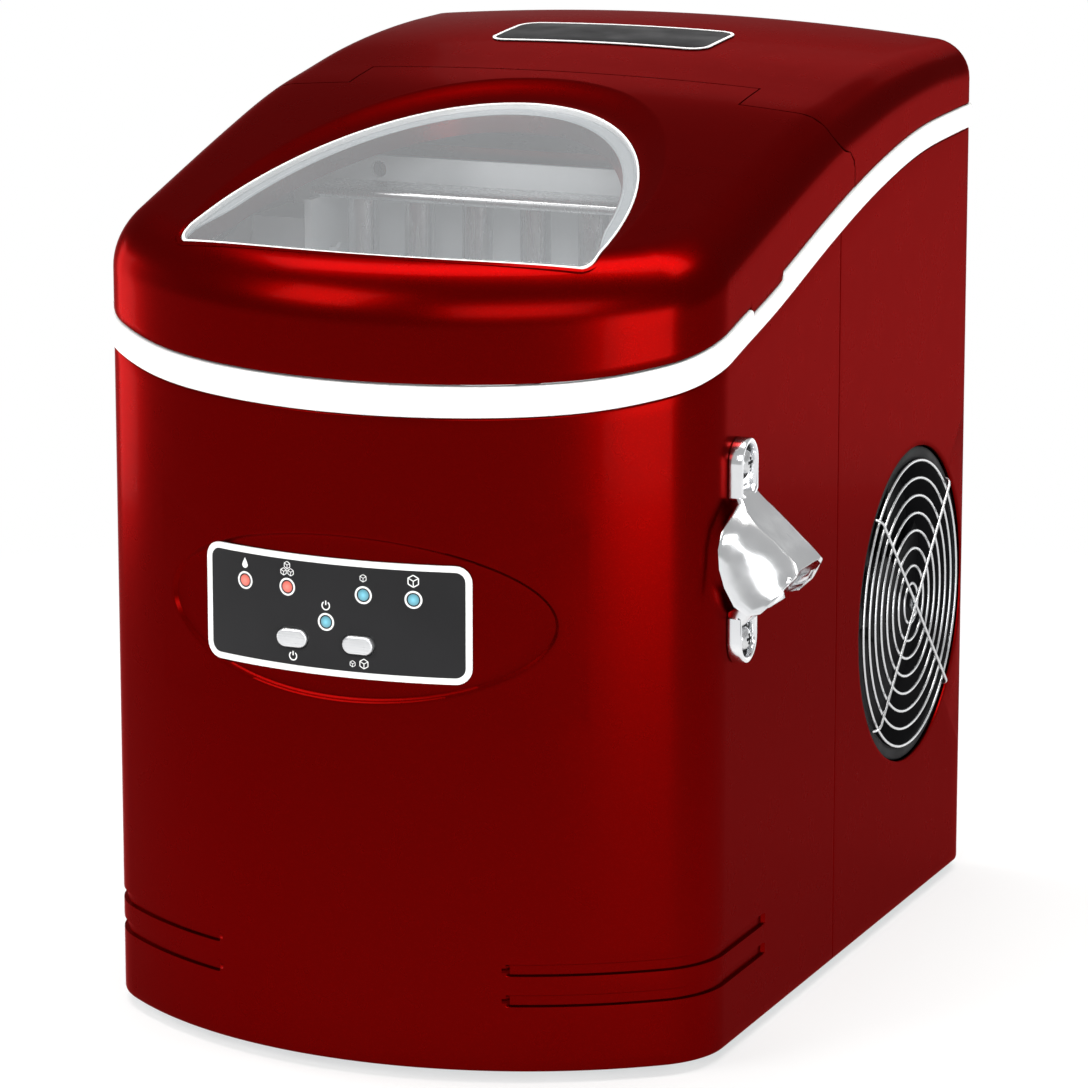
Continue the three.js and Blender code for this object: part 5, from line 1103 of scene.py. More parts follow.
class MakeRearShell(bpy.types.Operator):
    """Rear walls with the fan opening, the intake slots and the cord outlet"""
    bl_idname = "ice_maker.make_rear_shell"
    bl_label = "Rear shell"

    def execute(self, context):
        casing = Casing(context.scene)
        fan = casing.fan
        seam = casing.size.body_seam + 0.15
        centres = [fan.y + (i - 3.5) * 10.99 for i in range(8)]
        sides = [seam + 0.1, seam + 0.3, seam + 0.55, 14] + spaced(20, 54, 6)
        for c in centres:
            sides += [c - 2, c, c + 2]
        sides += [146, 153, casing.rear_y]
        shape = Shape()
        last = shape.point(casing.side_x, seam, 0)
        for y in sides:
            last = shape.step(last, (casing.side_x, y, 0))
        rear_rail(shape, casing, last, 10, [98, 91, 84, 77, 70] + spaced(60, 0, 10))
        shape.mirror()
        shape.remember(casing)
        low, high = 95, 165
        levels = spaced(9, 27, 6) + [34, 41] + spaced(48, 92, 7.3)
        levels += [low, low + 0.27, low + 1, low + 2, 105, 115, 126.5, 138, 148, 156]
        levels += [high - 2, high - 1, high - 0.27, high] + spaced(172, 214, 7) + [STRAIGHT_FROM]
        shape.rows(shape.bm.edges[:], wall_rows(casing, levels))
        for v in shape.bm.verts:
            near = min(centres, key=lambda c: abs(c - v.co.y))
            end = min(v.co.z - low, high - v.co.z)
            if v.co.x < -100 and end > -0.01 and 1 < abs(v.co.y - near) < 3:
                v.co.y = near + math.copysign(round_end(end), v.co.y - near)

        def slot(p):
            return p.x < -100 and low < p.z < high and min(abs(c - p.y) for c in centres) < 1.9
        bmesh.ops.delete(shape.bm, geom=[f for f in shape.bm.faces if slot(f.calc_center_median())],
                         context="FACES")

        def opening(radius, inset):
            def where(c, s):
                y = fan.y + radius * c
                return Vector((casing.side(y) - inset, y, fan.z + radius * s))
            return where
        shape.reopen(
            lambda p: p.x > 100 and abs(p.y - fan.y) < 66 and abs(p.z - fan.z) < 69,
            lambda p: (p.y - fan.y, p.z - fan.z), (1, 1),
            [opening(65, 0), opening(63.6, 0), opening(63.1, 0.15), opening(62.9, 0.6)])

        gland_x, gland_z = GLAND

        def gland(radius, inset):
            return lambda c, s: Vector((gland_x + radius * c, casing.back_y - inset,
                                        gland_z + radius * s))
        shape.reopen(
            lambda p: p.y > 170 and abs(p.x - gland_x) < 12 and 21 < p.z < 46,
            lambda p: (p.x - gland_x, p.z - gland_z), (1, 1),
            [gland(9.4, 0), gland(7.8, 0), gland(7.4, 0.4)])
        shape.wall(casing.size.wall, Vector((0, 1, 0)))
        shape.piece("shell_rear", "casing", "red_gloss", ["rear_shell"])
        return {"FINISHED"}


class MakeBand(bpy.types.Operator):
    """White band that sweeps up the sides between the shells and the covers"""
    bl_idname = "ice_maker.make_band"
    bl_label = "White band"

    def execute(self, context):
        casing = Casing(context.scene)
        proud = casing.size.trim_proud
        shape = Shape()
        ends = (casing.notch_front, casing.notch_back - 1.2)
        sides = spaced(casing.corner_y, ends[0] - 1, 4)[1:]
        sides += spaced(ends[0], ends[0] + 1.2, 0.24) + spaced(ends[0] + 4, ends[1] - 2, 4)
        sides += spaced(ends[1], ends[1] + 1.2, 0.24) + spaced(ends[1] + 4, casing.rear_y, 4)
        last = front_rail(shape, casing, 64, 20, sides)
        rear_rail(shape, casing, last, 10, spaced(100, 0, 10))
        shape.mirror()
        shape.remember(casing)

        def row(share, up, inset):
            def where(foot, out):
                low, high = casing.low(foot.y) + 0.3, casing.band_top(foot.y)
                z = blend(low, high - casing.notch(foot.y), share) + up
                return Vector((foot.x - out.x * inset, foot.y - out.y * inset, z))
            return where
        outside = [(0, 0, 2.5), (0, 0, 0.2), (0, 0.1, -proud * 0.55), (0, 0.45, -proud * 0.9),
                   (0, 1.1, -proud), (0.5, 0, -proud), (1, -1.1, -proud),
                   (1, -0.45, -proud * 0.9), (1, -0.1, -proud * 0.55), (1, 0, 0.2), (1, 0, 2.5),
                   (0, 0, 2.5)]
        shape.rows(shape.bm.edges[:], [row(*r) for r in outside])
        shape.weld()
        shape.piece("band_white", "casing", "white_gloss", ["trim_band"])
        return {"FINISHED"}


def cover_rows(casing, low, end, gap, steps, stop):
    """Rows of a cover's wall and rounding. Near the seam each row is drawn out to its edge."""
    fixed, first = end

    def placed(height, inset):
        def where(foot, out):
            y = foot.y
            for _ in range(4):
                z = height(y)
                if abs(out.x) > 0.999 and (foot.y - fixed) * (first - fixed) > 0:
                    limit = casing.seam_limit(z, gap)
                    y = fixed + (foot.y - fixed) * (limit - fixed) / (first - fixed)
            d = inset(y)
            x, y = foot.x - out.x * d, y - out.y * d
            return Vector((x, y, height(y)))
        return where

    def start(y):
        return casing.top(casing.side_x, y) - casing.rounding(y)

    rows = [placed(low, lambda y: 0.5), placed(lambda y: low(y) + 0.12, lambda y: 0.14),
            placed(lambda y: low(y) + 0.5, lambda y: 0)]
    for share in (0.2, 0.45, 0.7, 0.9):
        rows.append(placed(lambda y, s=share: blend(low(y) + 0.5, start(y), s), lambda y: 0))

    def rounded(angle):
        def where(foot, out):
            y = foot.y
            for _ in range(4):
                radius = casing.rounding(foot.y)
                d = radius * (1 - math.cos(angle))
                x = foot.x - out.x * d
                z = casing.top(x, y - out.y * d) - radius * (1 - math.sin(angle))
                if abs(out.x) > 0.999 and (foot.y - fixed) * (first - fixed) > 0:
                    limit = casing.seam_limit(z, gap)
                    y = fixed + (foot.y - fixed) * (limit - fixed) / (first - fixed)
            return Vector((x, y - out.y * d, z))
        return where
    return rows + [rounded(math.radians(stop) * i / steps) for i in range(steps + 1)]


def hinge_eye(shape, casing, low, high):
    """Plate that hangs from a cover and ends in a round eye on the hinge axis."""
    y, z = casing.lid.hinge_y, casing.lid.hinge_z
    eye = [(low, y + 6 * math.cos(a), z + 6 * math.sin(a))
           for a in (math.pi * (1 + i / 12) for i in range(13))]
    top = [(low, at, casing.top(high, at) - 1.6) for at in (y + 6, y - 6)]
    shape.slab(eye + top, (high - low, 0, 0))


class MakeLid(bpy.types.Operator):
    """Crowned lid with its rounded edge, the hinge tab, the dish and the window's seat"""
    bl_idname = "ice_maker.make_lid"
    bl_label = "Lid"

    def execute(self, context):
        casing = Casing(context.scene)
        lid = casing.lid
        gap = casing.size.seam
        rear = lid.hinge_y - lid.seam_lead
        shape = Shape()
        ends = (casing.notch_front + gap, casing.notch_back - gap - 1.2)
        sides = spaced(casing.corner_y, ends[0] - 1, 3)[1:]
        sides += spaced(ends[0], ends[0] + 1.2, 0.24) + spaced(ends[0] + 3, ends[1] - 2, 3)
        sides += spaced(ends[1], ends[1] + 1.2, 0.24) + spaced(ends[1] + 3, -32, 3)
        sides += spaced(-29, rear, 3)
        front_rail(shape, casing, 84, 34, sides)
        shape.mirror()
        shape.remember(casing)

        def low(y):
            return casing.band_top(y) + gap - casing.notch(y, gap)
        edges = shape.rows(shape.bm.edges[:],
                           cover_rows(casing, low, (-30, rear), 0, 10, 55))
        self.close_rear(shape, casing, edges, rear)
        border = [e for e in shape.bm.edges if e.tag]
        self.fill_top(shape, casing, border)
        shape.wall(casing.size.wall, Vector((0, -1, 0)))
        for side in (-1, 1):
            hinge_eye(shape, casing, min(side * 66, side * 74), max(side * 66, side * 74))
        shape.piece("lid_top", "lid", "red_gloss", ["lid_shell"])
        return {"FINISHED"}

    def close_rear(self, shape, casing, edges, rear):
        """Carries the last row round the rear edge and the hinge tab, and marks the loop."""
        lid = casing.lid
        ends = {v for e in edges for v in e.verts
                if sum(e in edges for e in v.link_edges) == 1}
        for e in shape.bm.edges:
            e.tag = False
        for e in edges:
            e.tag = True
        for last in ends:
            side = math.copysign(1, last.co.x)
            path = [(x, rear) for x in spaced(abs(last.co.x), lid.tab_half, 4)[1:]]
            tab = casing.tab_rear(lid.tab_half)
            path += [(lid.tab_half, y) for y in spaced(rear, tab, 3)[1:]]
            path += [(x, casing.tab_rear(x)) for x in spaced(lid.tab_half, 0, 3)[1:]]
            for x, y in path:
                foot, out = Vector((side * casing.side_x, y, 0)), Vector((side, 0, 0))
                last = shape.step(last, (side * x, y, casing.skin(side * x, y, foot, out)))
                last[shape.foot], last[shape.out] = foot, out
                for e in last.link_edges:
                    e.tag = True
        tagged = {v for e in shape.bm.edges if e.tag for v in e.verts}
        bmesh.ops.remove_doubles(shape.bm, verts=list(tagged), dist=0.001)

    def fill_top(self, shape, casing, edges):
        """Rows from the rim to the dish, down to the window and along its seat."""
        centre = (0, -80)
        upper = Rays(casing.window_edge(0, 0.9), centre)
        outline = {inset: Rays(casing.seat_edge(*inset), centre)
                   for inset in ((0, 0), (0.1, 0.1), (2.2, 7.2))}
        for v in {v for e in edges for v in e.verts}:
            v[shape.spot] = v.co

        def extend(edges, where):
            made = bmesh.ops.extrude_edge_only(shape.bm, edges=edges)["geom"]
            for v in verts_in(made):
                v.co = where(v[shape.spot], v[shape.foot], v[shape.out])
            return edges_in(made)

        for share in (0.05, 0.1, 0.16, 0.23, 0.32, 0.43, 0.56, 0.7, 0.84, 0.95, 1):
            def flat(at, foot, out, t=share):
                x, y = upper.at(at.x, at.y)
                x, y = blend(at.x, x, t), blend(at.y, y, t)
                return Vector((x, y, casing.skin(x, y, foot, out)))
            edges = extend(edges, flat)
        for share, drop in ((0.06, 0.02), (0.16, 0.12), (0.34, 0.38), (0.55, 0.66), (0.76, 0.88),
                            (0.92, 0.98), (1, 1)):
            def slope(at, foot, out, t=share, d=drop):
                (x0, y0), (x1, y1) = upper.at(at.x, at.y), outline[0, 0].at(at.x, at.y)
                x, y = blend(x0, x1, t), blend(y0, y1, t)
                return Vector((x, y, blend(casing.skin(x0, y0, foot, out),
                                           casing.lens_height(x1, y1), d)))
            edges = extend(edges, slope)
        for inset, deep in (((0, 0), 0.35), ((0.1, 0.1), 2.65), ((2.2, 7.2), 2.65),
                            ((2.2, 7.2), 9)):
            def seat(at, foot, out, inset=inset, deep=deep):
                x, y = outline[inset].at(at.x, at.y)
                return Vector((x, y, casing.lens_height(x, y) - deep))
            edges = extend(edges, seat)


class MakeWindow(bpy.types.Operator):
    """Clear window and the pale seal round it"""
    bl_idname = "ice_maker.make_window"
    bl_label = "Window"

    def execute(self, context):
        casing = Casing(context.scene)
        bead = [(0.12, 2.5), (0.12, 0.2), (0.3, -0.05), (0.6, -0.12), (0.9, -0.05), (1.05, 0.2),
                (1.05, 2.5), (0.12, 2.5)]
        bed = [(1.05, 2.5), (1.05, 2.2), (5.4, 2.2), (5.7, 1.95), (6.3, 1.95), (6.6, 2.2),
               (6.9, 2.5), (1.05, 2.5)]
        self.seal(casing, "window_seal", bead, 1, None, ["window_gasket"])
        self.seal(casing, "window_seal_bed", bed, 0.16, "seal_grey", [])
        shape = Shape()
        rim = casing.window_edge(1.15)
        edges = shape.ring([(x, y, casing.lens_height(x, y) - 0.35) for x, y in rim])
        for v in shape.bm.verts:
            v[shape.foot] = v.co
        rows = ((1, 0.5, 0.06), (1, 0.9, 0), (0.9, 0, 0), (0.75, 0, 0), (0.6, 0, 0), (0.45, 0, 0),
                (0.3, 0, 0), (0.15, 0, 0), (0, 0, 0))
        for share, inset, low in rows:
            def where(foot, out, share=share, inset=inset, low=low):
                away = Vector((foot.x, foot.y - WINDOW_MIDDLE, 0))
                k = share * (1 - inset / away.length)
                x, y = away.x * k, away.y * k + WINDOW_MIDDLE
                return Vector((x, y, casing.lens_height(x, y) - low))
            edges = shape.rise(edges, where)
        shape.wall(casing.lid.lens - 0.1, Vector((0, 0, 1)))
        shape.piece("window_clear", "lid", "clear_window", ["lid_window"])
        return {"FINISHED"}

    def seal(self, casing, name, profile, narrow, finish, replaces):
        """Moulding with a profile of (inset, depth); at the front its insets are narrowed."""
        shape = Shape()
        loops = []
        for inset, deep in profile:
            front = 1.05 + (inset - 1.05) * narrow
            loops.append(shape.ring([(x, y, casing.lens_height(x, y) - deep)
                                     for x, y in casing.seat_edge(front, inset)]))
        for a, b in zip(loops, loops[1:]):
            bmesh.ops.bridge_loops(shape.bm, edges=a + b)
        shape.weld()
        shape.piece(name, "lid", "white_gloss", replaces, finish=finish)


class MakeRearCover(bpy.types.Operator):
    """Rear cover behind the lid, with the web that closes off the machine space"""
    bl_idname = "ice_maker.make_rear_cover"
    bl_label = "Rear cover"

    def execute(self, context):
        casing = Casing(context.scene)
        lid = casing.lid
        gap = casing.size.seam
        first = lid.hinge_y - lid.seam_lead + gap
        tab, inner = casing.tab_rear(lid.tab_half + gap, gap), lid.tab_half + gap
        notch_rows = spaced(first, tab, 3.4)
        ys = notch_rows + spaced(tab + 5, casing.rear_y, 6)
        xs = spaced(0, inner, 5) + spaced(inner, casing.rear_x, 5)[1:]
        shape = Shape()
        last = shape.point(casing.side_x, ys[0], 0)
        for y in ys[1:]:
            last = shape.step(last, (casing.side_x, y, 0))
        rear_rail(shape, casing, last, 12, xs[-2::-1])
        shape.mirror()
        shape.remember(casing)

        def low(y):
            return casing.band_top(y) + 0.3
        shape.rows(shape.bm.edges[:], cover_rows(casing, low, (60, first), gap, 10, 90))

        across = [-x for x in xs[:0:-1]] + xs
        made = bmesh.ops.create_grid(shape.bm, x_segments=len(across) - 1,
                                     y_segments=len(ys) - 1, size=1)["verts"]
        for v in made:
            i = round((v.co.x + 1) / 2 * (len(across) - 1))
            j = round((v.co.y + 1) / 2 * (len(ys) - 1))
            x, y = across[i], ys[j]
            if abs(x) > inner:
                edge = casing.side_x - casing.rounding(y)
                share = (abs(x) - inner) / (casing.rear_x - inner)
                x = math.copysign(blend(inner, edge, share), x)
            elif j == len(notch_rows) - 1:
                y = casing.tab_rear(x, gap)
            v.co = (x, y, casing.top(x, y))
        grid = {f for v in made for f in v.link_faces}
        doomed = [f for f in grid if abs(f.calc_center_median().x) < inner
                  and f.calc_center_median().y < tab - 0.5
                  and max(v.co.y for v in f.verts) < tab + 0.2]
        bmesh.ops.delete(shape.bm, geom=doomed, context="FACES")
        shape.wall(casing.size.wall, Vector((0, 1, 0)))
        for side in (-1, 1):
            hinge_eye(shape, casing, min(side * 82, side * 87), max(side * 82, side * 87))
        shape.piece("cover_rear", "casing", "red_gloss", ["rear_cover"])
        self.web(casing)
        return {"FINISHED"}

    def web(self, casing):
        """Upright wall and shelf between the ice chamber and the machine space."""
        y, shelf = casing.lid.hinge_y + casing.lid.tab_radius + 3.1, 310.6
        shape = Shape()
        out = Vector((1, 0, 0))
        last = None
        for x in spaced(-104, 104, 8):
            last = shape.step(last, (x, -3.9, shelf + 2.3)) if last else shape.point(
                x, -3.9, shelf + 2.3)
        for v in shape.bm.verts:
            v[shape.foot], v[shape.out] = v.co, out
        edges = shape.bm.edges[:]
        for deep, share in ((y - 2, 0), (y - 0.6, 0.02), (y, 0.06), (y, 0.5), (y, 1)):
            def where(foot, out, deep=deep, share=share):
                edge = Vector((math.copysign(casing.side_x, foot.x), deep, 0))
                way = Vector((math.copysign(1, foot.x), 0, 0))
                high = casing.skin(foot.x, deep, edge, way) - 2.8
                return Vector((foot.x, deep, blend(shelf + 2.3, high, share)))
            edges = shape.rise(edges, where)
        shape.wall(2.2, Vector((0, -1, 0)))
        shape.piece("cover_web", "casing", "red_gloss")


class MakeBadge(bpy.types.Operator):
    """Bare black plate with a white border on the crowned top"""
    bl_idname = "ice_maker.make_badge"
    bl_label = "Top plate"

    def execute(self, context):
        casing = Casing(context.scene)
        self.plate(casing, "badge_plate_black", "black_gloss", 90.2, 38.2, 7.2, 0, 0.52,
                   ["badge_plate"], "black_matte")
        self.plate(casing, "badge_border", "white_gloss", 92, 40, 8, 1.3, 0.68, [], None)
        return {"FINISHED"}

    def plate(self, casing, name, slot, width, height, radius, border, proud, replaces, finish):
        shape = rounded_sheet(width, height, radius, 0, 0, border)
        bmesh.ops.rotate(shape.bm, cent=(0, 0, 0), matrix=Matrix.Rotation(-math.pi / 2, 3, "X"),
                         verts=shape.bm.verts)
        bmesh.ops.translate(shape.bm, vec=(*BADGE, 0), verts=shape.bm.verts)
        shape.cuts(Vector((1, 0, 0)), spaced(-48, 40, 4))
        shape.cuts(Vector((0, 1, 0)), (82, 92, 102))
        for v in shape.bm.verts:
            v.co.z = casing.top(v.co.x, v.co.y) + proud
        shape.wall(proud - 0.32, Vector((0, 0, 1)))
        shape.soften(0.12, 50)
        shape.piece(name, "casing", slot, replaces, finish=finish)


class MakePanel(bpy.types.Operator):
    """Control panel: pale frame, black face with openings, rings and generic signs"""
    bl_idname = "ice_maker.make_panel"
    bl_label = "Control panel"

    def execute(self, context):
        casing = Casing(context.scene)
        self.frame_ring(casing)
        self.face(casing)
        self.rings(casing)
        self.signs(casing)
        return {"FINISHED"}

    def frame_ring(self, casing):
        p = casing.panel
        shape = rounded_sheet(p.width, p.height, p.corner, p.x, p.z, p.border)
        shape.cuts(Vector((1, 0, 0)), spaced(p.x - p.width / 2 + 3, p.x + p.width / 2 - 3, 3))
        for v in shape.bm.verts:
            v.co.y = casing.front(v.co.x, 0.05)
        shape.wall(1.0, Vector((0, -1, 0)))
        shape.soften(0.35, 50, 3)
        shape.piece("panel_ring", "casing", "white_gloss", ["panel_frame"])

    def face(self, casing):
        p = casing.panel
        w, h = p.width / 2 - p.border + 0.2, p.height / 2 - p.border + 0.2
        shape = Shape()
        made = bmesh.ops.create_grid(shape.bm, x_segments=80, y_segments=32, size=1)["verts"]
        round_at = p.corner - p.border
        for v in made:
            x, z = v.co.x * w, v.co.y * h
            over = Vector((max(abs(x) - w + round_at, 0), max(abs(z) - h + round_at, 0)))
            if over.x and over.y and over.length > round_at:
                over = over.normalized() * round_at
                x, z = (math.copysign(w - round_at + over.x, x),
                        math.copysign(h - round_at + over.y, z))
            v.co = (p.x + x, casing.front(p.x + x, FACE_SINK), p.z + z)
        straight = 0.35  # cosine up to which a pill's outline is straight
        for x, z in BUTTONS.values():
            def pill(grow, deep, x=x, z=z):
                def where(c, s):
                    half = p.button_height / 2 + grow
                    run = p.button_width / 2 - p.button_height / 2
                    if abs(c) > straight:
                        px, up = x + math.copysign(run, c) + half * c, half * s
                    else:
                        px = x + (run + half * straight) * c / straight
                        up = half * math.copysign(
                            blend(1, math.sqrt(1 - straight**2), abs(c) / straight), s)
                    return Vector((px, casing.front(px, FACE_SINK + deep), z + up))
                return where
            shape.reopen(
                lambda q, x=x, z=z: abs(q.x - x) < 7.6 and abs(q.z - z) < 5,
                lambda q, x=x, z=z: (q.x - x, q.z - z), (7.6, 5),
                [pill(0.75, 0), pill(0.45, 0.12), pill(0.35, 0.5)])
        shape.wall(1.6, Vector((0, -1, 0)))
        shape.piece("panel_black", "casing", "black_gloss", ["panel_face"])

    def rings(self, casing):
        """White rings printed round the status lights."""
        shape = Shape()
        for x, z, _ in LIGHTS.values():
            shape.turned([(2.55, 0.05), (2.6, -0.1), (2.75, -0.16), (3.1, -0.16), (3.25, -0.1),
                          (3.3, 0.05), (2.55, 0.05)], "Y", (x, 0, z), 40)
        for v in shape.bm.verts:
            v.co.y += casing.front(v.co.x, FACE_SINK)
        shape.piece("panel_rings", "casing", "white_gloss")

    def signs(self, casing):
        """Generic signs: a drop, ice cubes, standby and a choice of two sizes."""
        shape = Shape()

        def bar(a, b, wide):
            a, b = Vector((a[0], 0, a[1])), Vector((b[0], 0, b[1]))
            run = b - a
            side = Vector((run.z, 0, -run.x)).normalized() * wide / 2
            outline = shape.ring([a + side, b + side, b - side, a - side])
            bmesh.ops.contextual_create(shape.bm, geom=outline)

        def cube(x, z, size):
            corners = [(x + size * math.sin(a), z + size * math.cos(a))
                       for a in (math.pi / 3 * i for i in range(6))]
            for i in range(6):
                bar(corners[i], corners[(i + 1) % 6], size * 0.17)
            for i in (1, 3, 5):
                bar((x, z), corners[i], size * 0.15)

        def bow(x, z, radius, wide, start, angle, steps):
            a = shape.point(x + (radius - wide / 2) * math.cos(start), 0,
                            z + (radius - wide / 2) * math.sin(start))
            b = shape.step(a, (x + (radius + wide / 2) * math.cos(start), 0,
                               z + (radius + wide / 2) * math.sin(start)))
            bmesh.ops.spin(shape.bm, geom=[a, b, a.link_edges[0]], cent=(x, 0, z),
                           axis=(0, -1, 0), angle=angle, steps=steps)

        def standby(x, z, size):
            bow(x, z, size, size * 0.3, math.radians(125), math.radians(290), 24)
            bar((x, z + size * 0.15), (x, z + size * 1.25), size * 0.3)

        def drop(x, z, size):
            made = bmesh.ops.create_circle(
                shape.bm, cap_ends=True, segments=24, radius=size,
                matrix=Matrix.Translation((x, 0, z)) @ Matrix.Rotation(math.pi / 2, 4, "X"))
            for v in made["verts"]:
                up = (v.co.z - z) / size
                if up > 0:
                    v.co.x = x + (v.co.x - x) * (1 - up) ** 0.6
                    v.co.z = z + size * up * 2.1

        drop(-43, 185, 1.25)
        cube(-26, 184.7, 1.35)
        cube(-23, 184.7, 1.35)
        cube(-24.5, 187.2, 1.35)
        standby(-8.6, 174, 1.5)
        cube(6.2, 185.4, 1.35)
        cube(25, 185.6, 2.2)
        standby(-22.3, 153.9, 1.5)
        cube(1.9, 153.6, 1.15)
        cube(6.3, 153.9, 1.8)
        shape.weld(0.0005)
        for v in shape.bm.verts:
            v.co.y = casing.front(v.co.x, 0.24)
        for f in shape.bm.faces:
            f.normal_update()
            if f.normal.y > 0:
                f.normal_flip()
        bmesh.ops.solidify(shape.bm, geom=shape.bm.faces[:], thickness=0.1)
        shape.piece("panel_signs", "casing", "white_gloss")


LIGHTS = {
    "light_pipe_add_water": (-43.0, 179.2, "red_light"),
    "light_pipe_ice_full": (-24.5, 179.2, "red_light"),
    "light_pipe_power": (-8.6, 168.0, "blue_light"),
    "light_pipe_small": (6.2, 179.2, "blue_light"),
    "light_pipe_large": (25.0, 178.8, "blue_light"),
}
BUTTONS = {"on_off_button": (-22.3, 160.7), "select_button": (4.2, 160.7)}


class MakeLights(bpy.types.Operator):
    """Domed coloured status lights"""
    bl_idname = "ice_maker.make_lights"
    bl_label = "Status lights"

    def execute(self, context):
        casing = Casing(context.scene)
        radius = casing.panel.light_radius
        for node, (x, z, slot) in LIGHTS.items():
            shape = Shape()
            y = casing.front(x, FACE_SINK)
            back = box_millimetres(node)[1].y
            profile = [(0, -0.28), (0.7, -0.26), (1.4, -0.18), (2.0, -0.04), (2.3, 0.1),
                       (radius, 0.25), (radius, back - y), (0, back - y)]
            shape.turned(profile, "Y", (x, y, z), 32)
            for v in shape.bm.verts:
                far = min(math.hypot(v.co.x - x, v.co.z - z) / radius, 1)
                v[shape.across] = (far, far, far)
                if v.co.y < y + 1:
                    v.co.y += casing.front(v.co.x, FACE_SINK) - y
            shape.piece(node.replace("light_pipe", "status_light"), "casing", slot, [node])
        return {"FINISHED"}


class MakeButtons(bpy.types.Operator):
    """Silver pill buttons with their stems"""
    bl_idname = "ice_maker.make_buttons"
    bl_label = "Buttons"

    def execute(self, context):
        casing = Casing(context.scene)
        p = casing.panel
        for node, (x, z) in BUTTONS.items():
            front, back = (corner.y for corner in box_millimetres(node))
            shape = rounded_sheet(p.button_width, p.button_height, p.button_height / 2 - 0.02,
                                  x, z)
            for v in shape.bm.verts:
                v.co.y = front
            outline = shape.bm.edges[:]

            def at(grow, deep):
                def where(foot, out):
                    away = Vector((foot.x - x, 0, foot.z - z))
                    run = max(-2.6, min(2.6, away.x))
                    way = Vector((away.x - run, 0, away.z)).normalized()
                    return foot + way * grow + Vector((0, deep, 0))
                return where
            for v in shape.bm.verts:
                v[shape.foot] = v.co
            face = shape.bm.faces[:][0]
            bmesh.ops.delete(shape.bm, geom=[face], context="FACES_ONLY")
            shape.place(shape.bm.verts[:], at(0, 0.9))
            cap = outline
            for grow, deep in ((-0.12, 0.42), (-0.45, 0.12), (-1.0, 0)):
                cap = shape.rise(cap, at(grow, deep))
            bmesh.ops.contextual_create(shape.bm, geom=cap)
            skirt = outline
            for grow, deep in ((0, 4.4), (0.9, 4.5), (0.9, 6.0), (-2.2, 6.1)):
                skirt = shape.rise(skirt, at(grow, deep))
            skirt = shape.rise(skirt, lambda foot, out: Vector((
                x + (foot.x - x) * 0.3, back, z + (foot.z - z) * 0.5)))
            bmesh.ops.contextual_create(shape.bm, geom=skirt)
            shape.weld()
            body = node.removesuffix("_button")
            shape.piece(body + "_key", body, "button_silver", [node], 40)
        return {"FINISHED"}


